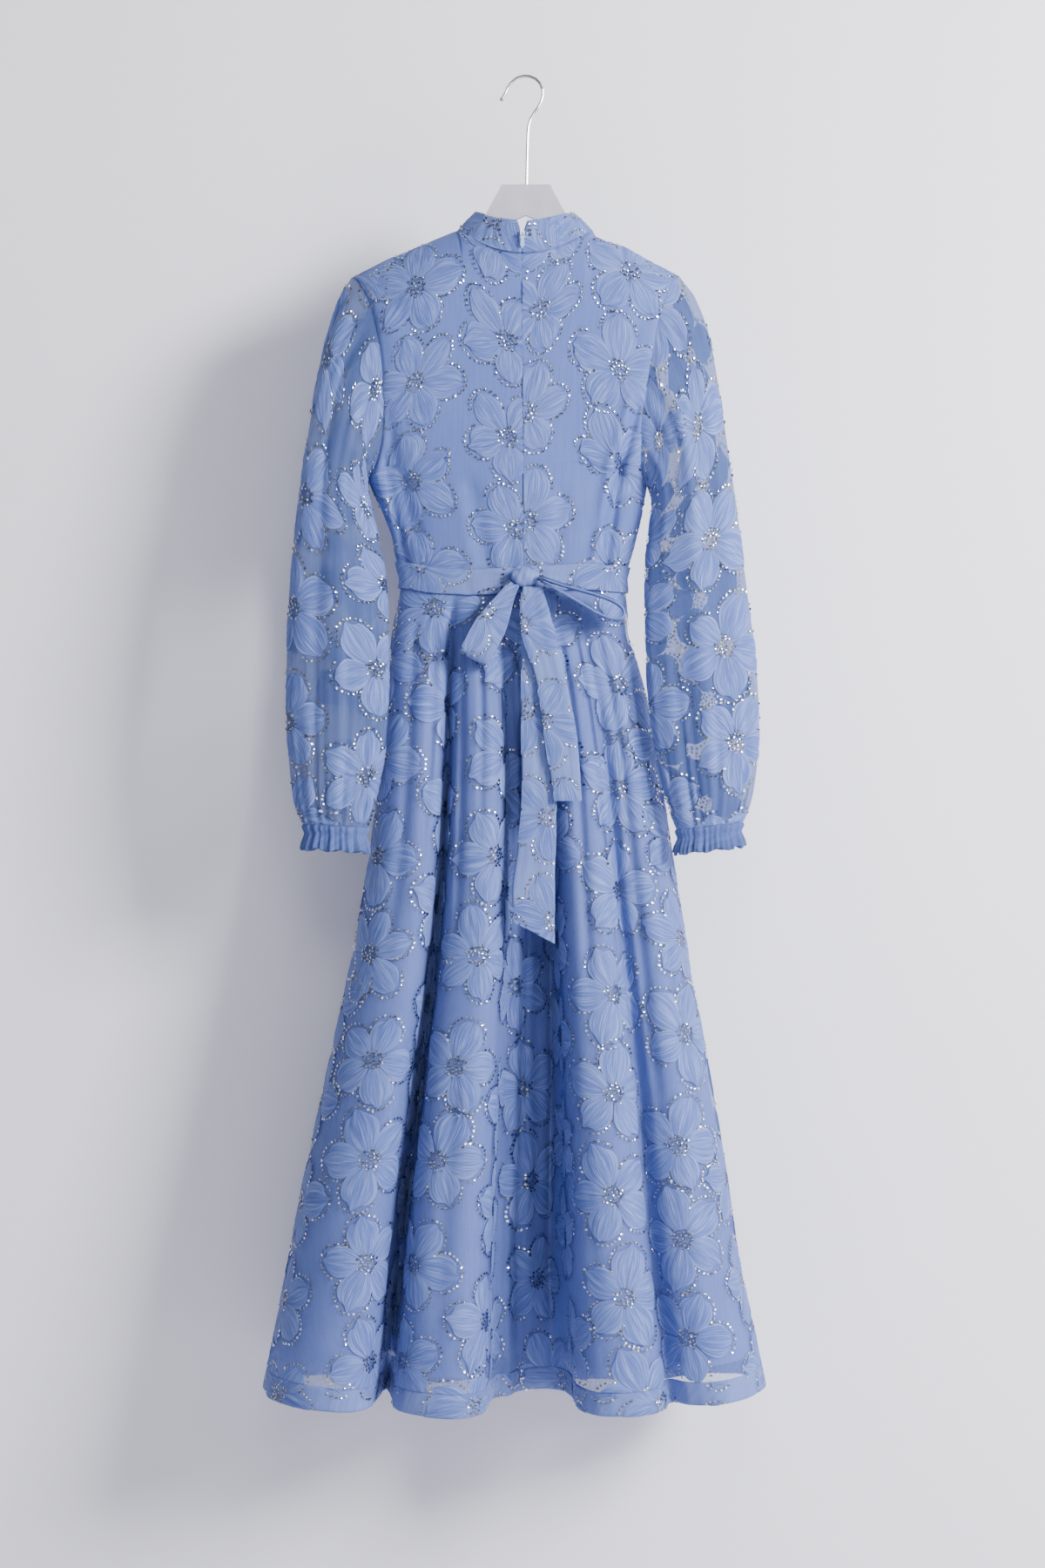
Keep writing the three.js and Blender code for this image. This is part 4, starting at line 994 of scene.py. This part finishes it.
def belt_surface(columns, rows):
    """The belt's outer points: an oval round the waist, its height from the belt's line, and
    its sides leaning with the bodice above the waist and with the skirt below it."""
    turn = np.linspace(0, 2 * math.pi, columns, endpoint=False)[None]
    rise = np.linspace(BELT_HEIGHT / 2, -BELT_HEIGHT / 2, rows)[:, None]
    cosine, sine = np.cos(turn), np.sin(turn)
    rough_x = WAIST_LEFT + (WAIST_RIGHT - WAIST_LEFT) * (1 - cosine) / 2
    at_side = np.abs(cosine) ** 6
    line = np.interp(rough_x, BELT_LINE[:, 0], BELT_LINE[:, 1])
    z = np.where(sine < 0, WAIST_Z + 3, line) * (1 - at_side) + line * at_side + rise
    away = BELT_CLEAR + DOUBLED
    below, above = np.maximum(0, WAIST_Z - z), np.maximum(0, z - WAIST_Z)
    left = WAIST_LEFT - above * 0.25 - below * 0.18 - away
    right = WAIST_RIGHT + above * 0.27 + below * 0.08 + away
    x = left + (right - left) * (1 - cosine) / 2
    y = -(WAIST_DEPTH + 1 + away) * sine + 0 * z
    return np.stack([x, y, z], axis=-1)


belt_grid = belt_surface(BELT_COLUMNS, BELT_ROWS)
belt_v = np.linspace(-1, 1, BELT_ROWS)[:, None]
near_knot = np.exp(-((belt_grid[..., 0] + 1) / 38) ** 2) * (belt_grid[..., 1] < 0)
gathers = near_knot * (0.9 * np.sin(5.5 * belt_v + 0.03 * belt_grid[..., 0])
                       + 0.5 * np.sin(9.5 * belt_v + 1.1 - 0.04 * belt_grid[..., 0]))
slack = 0.5 * np.sin(belt_grid[..., 0] * 0.11 + 2.0 * belt_v) + 0.3 * np.sin(
    belt_grid[..., 0] * 0.23 - 1.4 * belt_v + 1.0)
edge_hold = 1 - np.abs(belt_v) ** 6
belt_grid += ((gathers + 0.7 * slack) * edge_hold)[..., None] * grid_normals(belt_grid, True)
belt = soft_wall("belt_cloth", belt_grid, "belt_band", closed=True)
# For its petals the belt is split at the sides into a back and a front panel.
belt_back = Panel("belt_back", belt_grid[:, 6:205], 100)
belt_front = Panel("belt_front", belt_grid[:, 216:414], 99)
print("belt, back and front:", belt_back.flat_size(), belt_front.flat_size())

# %% Knot, loops and tails
LOOPS = {
    "left": dict(root=(-12.8, -45.7, -551.5), along=(-0.47, -0.05, -0.88),
                 width=(-0.88, 0, 0.47), length=93, open=6.5, gap=2.6, narrow=13, full=34),
    "right": dict(root=(13.7, -49.2, -546), along=(0.91, -0.06, -0.41), width=(-0.06, -1, 0),
                  length=101, open=9, gap=2.6, narrow=12, full=28),
}


def unit(vector):
    """The vector at length 1."""
    v = np.array(vector, dtype=float)
    return v / np.linalg.norm(v)


def loop_surface(loop, steps, columns):
    """A strip out of the knot, round and back: it reaches out as a power of a cosine, opens
    as a sine, and is gathered narrow at the knot with folds that die out along it."""
    along, width = unit(loop["along"]), unit(loop["width"])
    opened = unit(np.cross(width, along))
    q = np.linspace(-1, 1, steps)[:, None]
    reach = loop["length"] * np.cos(math.pi / 2 * q).clip(0) ** 0.6
    offset = loop["open"] * np.sin(math.pi * q) + loop["gap"] * q
    fill = smooth_step(reach / loop["length"], 0, 0.6)
    spread = loop["narrow"] + (loop["full"] - loop["narrow"]) * fill
    share = np.linspace(-0.5, 0.5, columns)[None]
    gather = (1 - fill) * 0.9 + 0.45
    fold = gather * (0.9 * np.sin(17 * share + 2.4 * q) + 0.5 * np.sin(31 * share - 3 * q + 1))
    sag = -2.0 * np.cos(math.pi * share) * np.cos(math.pi / 2 * q).clip(0) ** 2
    p = np.array(loop["root"]) + reach[..., None] * along + (share * spread)[..., None] * width
    return p + (offset + fold * 0.7 + 0.3 * sag)[..., None] * opened


TAILS = {  # z, left, right, y, right edge's z
    "short": [(-554.8, -4, 17, -46.5, -554.8), (-598, -6, 30, -50, -598),
              (-654, 10, 43, -53.5, -654), (-719, 20, 55, -57, -719),
              (-784, 30, 60, -60, -784)],
    "long": [(-555.4, -3, 17, -42.7, -555.4), (-640, -5, 30, -46, -640),
             (-719, -5, 33, -49.5, -719), (-784, -4.5, 33, -52.5, -784),
             (-834, -9, 32, -54, -834), (-875, -14.5, 31, -55, -875),
             (-913, -13, 31, -56, -936)],
}


def tail_surface(rows_table, rows, columns, seed):
    """A hanging strip between its left and right edges, with a belly and lengthwise folds
    that are deep under the knot and fade towards the end."""
    table = catmull_rom(rows_table, rows)
    z_left, left, right, y, z_right = (table[:, k:k + 1] for k in range(5))
    share = np.linspace(0, 1, columns)[None]
    v = np.linspace(0, 1, rows + 1)[:, None]
    fold = (0.35 + 1.0 * (1 - v) ** 1.5) * (
        0.8 * np.sin(2 * math.pi * (1.1 * share + 0.15 * np.sin(3 * v + seed)) + seed)
        + 0.35 * np.sin(2 * math.pi * 2.7 * share + 2 * seed - 2 * v))
    belly = 1.5 * 4 * share * (1 - share)
    x = left + (right - left) * share
    z = z_left + (z_right - z_left) * share
    hold = np.sin(math.pi * share) ** 0.5
    return np.stack([x, y - belly - fold * hold, z], axis=-1)


bow = {}
for side, loop in LOOPS.items():
    grid = loop_surface(loop, 121, 25)
    bow[side] = soft_wall(f"bow_loop_{side}_cloth", grid, f"bow_loop_{side}")
    bow[side + "_panel"] = Panel(f"bow_{side}", grid, 12)
for side, rows_table in TAILS.items():
    grid = tail_surface(rows_table, 150, 29, 0.6 if side == "short" else 2.1)
    bow[side] = soft_wall(f"tail_{side}_cloth", grid, f"tail_{side}")
    bow[side + "_panel"] = Panel(f"tail_{side}_face", grid, 14)


def knot_surface(rows, columns):
    """A squeezed ball with folds that run over it from top to bottom: each point is moved
    out by waves round its belly."""
    polar = np.linspace(0, math.pi, rows)[:, None]
    turn = np.linspace(0, 2 * math.pi, columns, endpoint=False)[None]
    x, y, z = np.sin(polar) * np.sin(turn), -np.sin(polar) * np.cos(turn), np.cos(polar) + 0 * turn
    swell = 1 + 0.05 * np.sin(7 * x + 2.2 * z) + 0.035 * np.sin(13 * x - 3 * z + 1)
    swell = 1 + (swell - 1) * np.sin(polar)
    return np.stack([-1 + 15 * x * swell, -42.3 + 8.2 * y * swell, -545 + 10.4 * z * swell],
                    axis=-1)


# A fan of triangles closes the knot at its top and at its bottom.
KNOT_ROWS, KNOT_COLUMNS = 48, 96
knot_grid = knot_surface(KNOT_ROWS, KNOT_COLUMNS)
knot_points = np.concatenate([knot_grid[0, :1], knot_grid[1:-1].reshape(-1, 3),
                              knot_grid[-1, :1]])
ring = np.arange(KNOT_COLUMNS)
after = (ring + 1) % KNOT_COLUMNS
last_ring = 1 + (KNOT_ROWS - 3) * KNOT_COLUMNS
first_fan = np.stack([0 * ring, 1 + ring, 1 + after], axis=-1)
last_fan = np.stack([last_ring + ring, 0 * ring + len(knot_points) - 1, last_ring + after],
                    axis=-1)
quads = grid_faces(KNOT_ROWS - 2, KNOT_COLUMNS, closed=True) + 1
knot_faces = np.concatenate([first_fan, last_fan, quads[:, [0, 1, 2]], quads[:, [0, 2, 3]]])
knot = make_piece("bow_knot_cloth", knot_points, knot_faces, knot_points[:, [0, 2]])
put_on(knot, DOUBLE_CLOTH, ["bow_knot"])
print("bow:", len(LOOPS), "loops,", len(TAILS), "tails and a knot")

# %% [markdown]
# ## Petals and sequins
#
# The flowers are spread over the flat cloth in a half-drop repeat, and every flower is
# turned and pushed a little out of place, as on a cloth that has been cut and gathered. A
# petal is a small domed surface. It is laid on its panel by its lengths along and down the
# cloth, so it follows each fold. Faces that lie past a seam are left out. Sequins are small
# cups: single rows round the petals' rims, and a cluster at each flower's middle. The table
# of places says where one flower of each panel lies, and the rest follow from the repeat.
# The skirt's back has two rows in it, as its cloth leans out to both sides.

# %% One petal and one sequin
PETAL_NEAR, PETAL_FAR, PETAL_HALF = 8.0, 55.0, 17.5
PETAL_ROWS, PETAL_COLUMNS = 14, 13


def petal_form():
    """One flat petal: v runs from the flower's middle to the rim, u across. The half width
    is a sine of a power of v, so it grows from a narrow root and closes round. Returns
    across, along, the dome's height, the rim's share and the streaks' fan."""
    v = (0.5 - 0.5 * np.cos(math.pi * np.linspace(0.1, 0.965, PETAL_ROWS)))[:, None]
    u = np.linspace(-1, 1, PETAL_COLUMNS)[None]
    width = PETAL_HALF * (np.sin(math.pi * v ** 1.3) ** 0.6 + 0.22 * (1 - v) ** 2)
    along = PETAL_NEAR + (PETAL_FAR - PETAL_NEAR) * v * (1 - 0.06 * u ** 2)
    dome = np.sin(math.pi * np.clip(0.08 + 0.86 * v, 0, 1)) ** 0.6 * (1 - np.abs(u) ** 3) ** 0.6
    rim = np.maximum(np.abs(u) ** 14 * (v > 0.15), smooth_step(v, 0.975, 0.998) + 0 * u)
    return u * width, along, dome, rim, 16.0 * u + 0.12 * u * width


def sequin_form():
    """A hexagonal cup: its middle lies lower than its rim. Returns across, along, height."""
    turn = np.arange(6) * math.pi / 3
    return (np.concatenate([[0], np.cos(turn)]), np.concatenate([[0], np.sin(turn)]),
            np.concatenate([[0.15], np.full(6, 0.6)]))


SEQUIN_ACROSS, SEQUIN_ALONG, SEQUIN_HEIGHT = sequin_form()
SEQUIN_FACES = np.array([(0, 1 + k, 1 + (k + 1) % 6) for k in range(6)])
SEQUIN_POINTS, SEQUIN_RADIUS, SEQUIN_PITCH = 7, 1.5, 5.0
SEQUIN_TILT, FLOWER_MIDDLE = 0.17, 14
FLOWER_PITCH, FLOWER_DROP, FLOWER_STRAY = 104.0, 108.0, 3.0
MOST_COLUMNS, MOST_FLOWERS, PAST_END, PAST_SIDE = 9, 16, 50, 45
PETAL_FORM, PETAL_FACES = petal_form(), grid_faces(PETAL_ROWS, PETAL_COLUMNS)


# %% Flowers on a panel
def nearest_place(panel, x, z):
    """The lengths along and down at the point of a panel that shows at x and z."""
    miss = (panel.grid[..., 0] - x) ** 2 + (panel.grid[..., 2] - z) ** 2
    row, column = np.unravel_index(np.argmin(miss + panel.grid[..., 1]), miss.shape)
    return panel.along[row, column], panel.down[row]


def flower_centres(panel, anchor, slant, half):
    """A half-drop repeat on the flat cloth: columns a fixed way apart, flowers a fixed drop
    apart, every other column moved down by half of it. The anchor is one flower's x and z,
    the slant turns the columns, and the half keeps one side of the middle line."""
    first, drop = nearest_place(panel, *anchor)
    centres = []
    for k in range(-MOST_COLUMNS, MOST_COLUMNS + 1):
        for j in range(-MOST_FLOWERS, MOST_FLOWERS + 1):
            t = drop + FLOWER_DROP * (j + 0.5 * (k % 2)) + rng.normal(0, FLOWER_STRAY)
            s = first + FLOWER_PITCH * k + slant * (t - drop) + rng.normal(0, FLOWER_STRAY)
            if not -PAST_END < t < panel.down[-1] + PAST_END:
                continue
            row = panel.row_at(t)
            low = np.interp(row, np.arange(len(panel.along)), panel.along[:, 0])
            high = np.interp(row, np.arange(len(panel.along)), panel.along[:, -1])
            if half:
                low, high = (low, 0.0) if half < 0 else (0.0, high)
            if low - PAST_SIDE < s < high + PAST_SIDE:
                centres.append((s, t, k % 2))
    return centres


def turned(across, along, turn):
    """Lengths across and along a petal, turned to lengths along and down the cloth."""
    cos, sin = math.cos(turn), math.sin(turn)
    return across * cos + along * sin, -across * sin + along * cos


def lay_petal(panel, centre, turn, size, narrow, lift, half, flowers):
    """One petal, laid on its panel and added to the flowers. Two sines ruffle it across, its
    end is wavy, and dome and rim raise it. Faces that lie past the panel are left out."""
    across, along, dome, rim, fan = PETAL_FORM
    ruffle = (0.14 * np.sin(across * 0.95 + rng.uniform(0, 6))
              + 0.10 * np.sin(across * 1.55 + along * 0.04 + rng.uniform(0, 6)))
    wavy = 1.4 * np.sin(across * 0.4 + rng.uniform(0, 6)) * smooth_step(along, 30, 50)
    s, t = turned(across * size * narrow, (along + wavy) * size, turn)
    height = lift * (0.2 + 1.0 * dome + ruffle * (0.3 + dome) + 0.35 * rim)
    points, outside = panel.lay(centre, s, t, height, half)
    keep = ~outside.reshape(-1)[PETAL_FACES].all(axis=1)
    if keep.any():
        shade, seed = rng.uniform(0, 0.16), rng.uniform(0, 900)
        flowers["points"].append(points.reshape(-1, 3))
        flowers["faces"].append(PETAL_FACES[keep] + flowers["count"])
        flowers["uv"].append(np.stack([(fan + seed).ravel(), (along + seed).ravel()], axis=-1))
        flowers["tone"].append(np.clip(0.6 * rim + shade, 0, 1).ravel())
        flowers["count"] += PETAL_ROWS * PETAL_COLUMNS


def rim_places(size, narrow):
    """Places of the sequins across and along a petal: an oval's arc just outside the rim,
    walked in equal steps between two random ends."""
    bend = np.linspace(-2.15, 2.15, 60)
    across = (PETAL_HALF + 2.2) * np.sin(bend) * size * narrow
    along = (PETAL_FAR * 0.645 + (PETAL_FAR * 0.355 + 2.0) * np.cos(bend)) * size
    length = np.concatenate([[0], np.cumsum(np.hypot(np.diff(across), np.diff(along)))])
    cut_low, cut_high = sorted(rng.uniform(0, 1, 2))
    at = np.arange(length[-1] * 0.35 * cut_low, length[-1] * (0.7 + 0.3 * cut_high),
                   SEQUIN_PITCH)
    return (np.interp(at, length, across) + rng.normal(0, 0.25, len(at)),
            np.interp(at, length, along) + rng.normal(0, 0.25, len(at)))


def lay_sequins(panel, centre, s, t, lift, half, dots):
    """Cups at the places s and t, each spun, tilted and given a random painted reflection,
    added to the dots. Those that reach past the panel are left out."""
    spin = rng.uniform(0, math.pi, len(s))[:, None]
    across, along = SEQUIN_RADIUS * SEQUIN_ACROSS, SEQUIN_RADIUS * SEQUIN_ALONG
    rim_s = s[:, None] + across * np.cos(spin) - along * np.sin(spin)
    rim_t = t[:, None] + across * np.sin(spin) + along * np.cos(spin)
    tilt = rng.normal(0, SEQUIN_TILT, (len(s), 2))
    raised = (lift * 0.9 + SEQUIN_HEIGHT[None] * 0.8
              + tilt[:, :1] * (rim_s - s[:, None]) + tilt[:, 1:] * (rim_t - t[:, None]))
    points, outside = panel.lay(centre, rim_s, rim_t, raised, half)
    keep = ~outside.any(axis=1)
    kept = int(keep.sum())
    if kept:
        faces = SEQUIN_FACES[None] + SEQUIN_POINTS * np.arange(kept)[:, None, None]
        dots["points"].append(points[keep].reshape(-1, 3))
        dots["faces"].append(faces.reshape(-1, 3) + dots["count"])
        # Painted reflection: each sequin's colour is made stronger or dimmer at random, and the
        # cluster at a flower's middle a quarter dimmer.
        inner = np.where(np.hypot(s, t) < FLOWER_MIDDLE, 0.75, 1)
        painted_reflection = rng.uniform(0.1, 1, len(s)) * inner
        dots["tone"].append(np.repeat(painted_reflection[keep], SEQUIN_POINTS))
        dots["count"] += SEQUIN_POINTS * kept


def decorate(panel, centres, lift, half):
    """Petals and sequins for every flower on a panel, as arrays of points and faces. A flower
    has five petals, or one time in five six narrower ones, and a cluster at its middle: a
    sunflower spiral, in which each place turns on by the golden angle, with some left out."""
    flowers = {"points": [], "faces": [], "uv": [], "tone": [], "count": 0}
    dots = {"points": [], "faces": [], "tone": [], "count": 0}
    for centre in centres:
        number = 5 if rng.random() < 0.8 else 6
        narrow = 5.3 / number
        first_turn = math.pi / number * centre[2] + rng.normal(0, 0.22)
        places = []
        for k in range(number):
            turn = first_turn + 2 * math.pi * (k + rng.normal(0, 0.035)) / number
            size = rng.uniform(0.86, 1.07)
            lay_petal(panel, centre, turn, size, narrow, lift, half, flowers)
            places.append(turned(*rim_places(size, narrow), turn))
        middle = rng.permutation(27)[:24]
        reach, angle = np.sqrt(middle + 0.5) * 2.35, middle * 2.399963
        places.append((reach * np.cos(angle), reach * np.sin(angle)))
        s, t = (np.concatenate(values) for values in zip(*places))
        lay_sequins(panel, centre, s, t, lift, half, dots)
    return flowers, dots


def flower_piece(name, flowers):
    """All petals of a panel as one piece, without the points that no face uses."""
    used, faces = np.unique(np.concatenate(flowers["faces"]), return_inverse=True)
    piece = make_piece(name, np.concatenate(flowers["points"])[used], faces.reshape(-1, 4),
                       np.concatenate(flowers["uv"])[used],
                       np.concatenate(flowers["tone"])[used])
    return put_on(piece, PETAL)


def sequin_piece(name, dots):
    """All sequins of a panel as one piece, each a flat-shaded cup."""
    piece = make_piece(name, np.concatenate(dots["points"]), np.concatenate(dots["faces"]),
                       tone=np.concatenate(dots["tone"]), smooth=False)
    return put_on(piece, SEQUIN)


# %% Flowers on the whole dress
hem_outside = Panel("hem_outside", hem_grid[1:9], 0)
PLACES = [  # panel, name, a flower's x and z, slant of the columns, how raised, half
    (skirt_back, "skirt_left", (-168, -1052), -0.22, 1.0, -1),
    (skirt_back, "skirt_right", (168, -1040), 0.20, 1.0, 1),
    (skirt_front, "skirt_front", (0, -900), 0.0, 1.0, 0),
    (bodice["bodice_back_left"], "bodice_back_left", (-24, -285), 0.0, 1.0, 0),
    (bodice["bodice_back_right"], "bodice_back_right", (101, -321), 0.0, 1.0, 0),
    (bodice["bodice_front"], "bodice_front", (0, -330), 0.0, 1.0, 0),
    (sleeves["left"], "sleeve_left", (-162, -343), -0.05, 1.0, 0),
    (sleeves["right"], "sleeve_right", (186, -382), 0.05, 1.0, 0),
    (belt_back, "belt", (-118, -530), 0.3, 0.35, 0),
    (collar_panel, "collar", (30, -112), 0.3, 0.3, 0),
    (bow["short_panel"], "tail_short", (8, -700), 0.2, 0.35, 0),
    (bow["long_panel"], "tail_long", (25, -800), 0.2, 0.35, 0),
    (bow["left_panel"], "bow_loop_left", (-60, -575), 0.2, 0.3, 0),
    (bow["right_panel"], "bow_loop_right", (60, -560), 0.2, 0.3, 0),
    (hem_outside, "hem", (-60, -1425), 0.0, 0.6, 0),
    (belt_front, "belt_front", (-20, -530), 0.3, 0.35, 0),
]
extras = {}
for panel, name, anchor, slant, lift, half in PLACES:
    flowers, dots = decorate(panel, flower_centres(panel, anchor, slant, half), lift, half)
    extras[name] = [flower_piece(name + "_petals", flowers), sequin_piece(name + "_sequins", dots)]
    print(name, "petal faces", len(extras[name][0].data.polygons), "sequins",
          dots["count"] // SEQUIN_POINTS)
extras["skirt_back"] = extras["skirt_left"] + extras["skirt_right"]
extras["belt"] += extras["belt_front"]

# %% [markdown]
# ## Hanger, hook and zip
#
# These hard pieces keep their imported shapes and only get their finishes: a satin grey
# moulding, a brushed steel hook, and a zip slider with a light blue enamelled pull.

# %% Hard pieces
def hard_finish(name, colour, metallic, roughness, wear_scale):
    """A smooth finish with a faint cloud in its colour and a fine grain as bump."""
    material, tree, shader, _ = new_material(name)
    place = add_node(tree, "TexCoord").outputs["Object"]
    cloud = noise(tree, place, wear_scale, 3)
    darker = tuple(0.86 * c for c in colour[:3]) + (1.0,)
    feed(tree, shader, Base_Color=ramp(tree, cloud, [(0.3, darker), (0.7, colour)]),
         Metallic=metallic, Roughness=roughness)
    bumped(tree, shader, noise(tree, place, 2500.0, 2), 0.00002)
    return material


HARD = {
    "hanger_body": hard_finish("satin_grey", linear(180, 177, 190), 0.25, 0.38, 30.0),
    "hanger_hook": hard_finish("hook_steel", linear(190, 184, 180), 1.0, 0.28, 60.0),
    "zip_slider": hard_finish("zip_silver", linear(196, 200, 212), 1.0, 0.3, 200.0),
    "zip_pull": hard_finish("zip_enamel", linear(150, 176, 226), 0.2, 0.35, 200.0),
}
for node, finish in HARD.items():
    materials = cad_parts[node].data.materials
    materials.clear()
    materials.append(finish)
print("hard pieces:", *HARD)

# %% [markdown]
# ## The cloth's cut sizes
#
# Each cloth panel prints the flat size it was cut to. The sizes come from the panels' own
# lengths along and down.


# %% Sheets
def declare(panel, name):
    """Prints the flat size a panel was cut to and its area. A doubled strip's closed wall shows
    both faces of one strip, so its panel is the strip once."""
    size, area = panel.flat_size()
    print(name, "cut", size, "area", round(area, 4))


declare(skirt_back, "skirt_back")
declare(skirt_front, "skirt_front")
for node in bodice:
    declare(bodice[node], node)
for _, side in SIDES:
    declare(sleeves[side], f"sleeve_{side}")
# The lining narrows towards the waist.
declare(collar_panel, "collar")
declare(Panel("belt_whole", belt_grid, 0), "belt")
for _, side in SIDES:
    declare(bow[side + "_panel"], f"bow_loop_{side}")
for side in TAILS:
    declare(bow[side + "_panel"], f"tail_{side}")
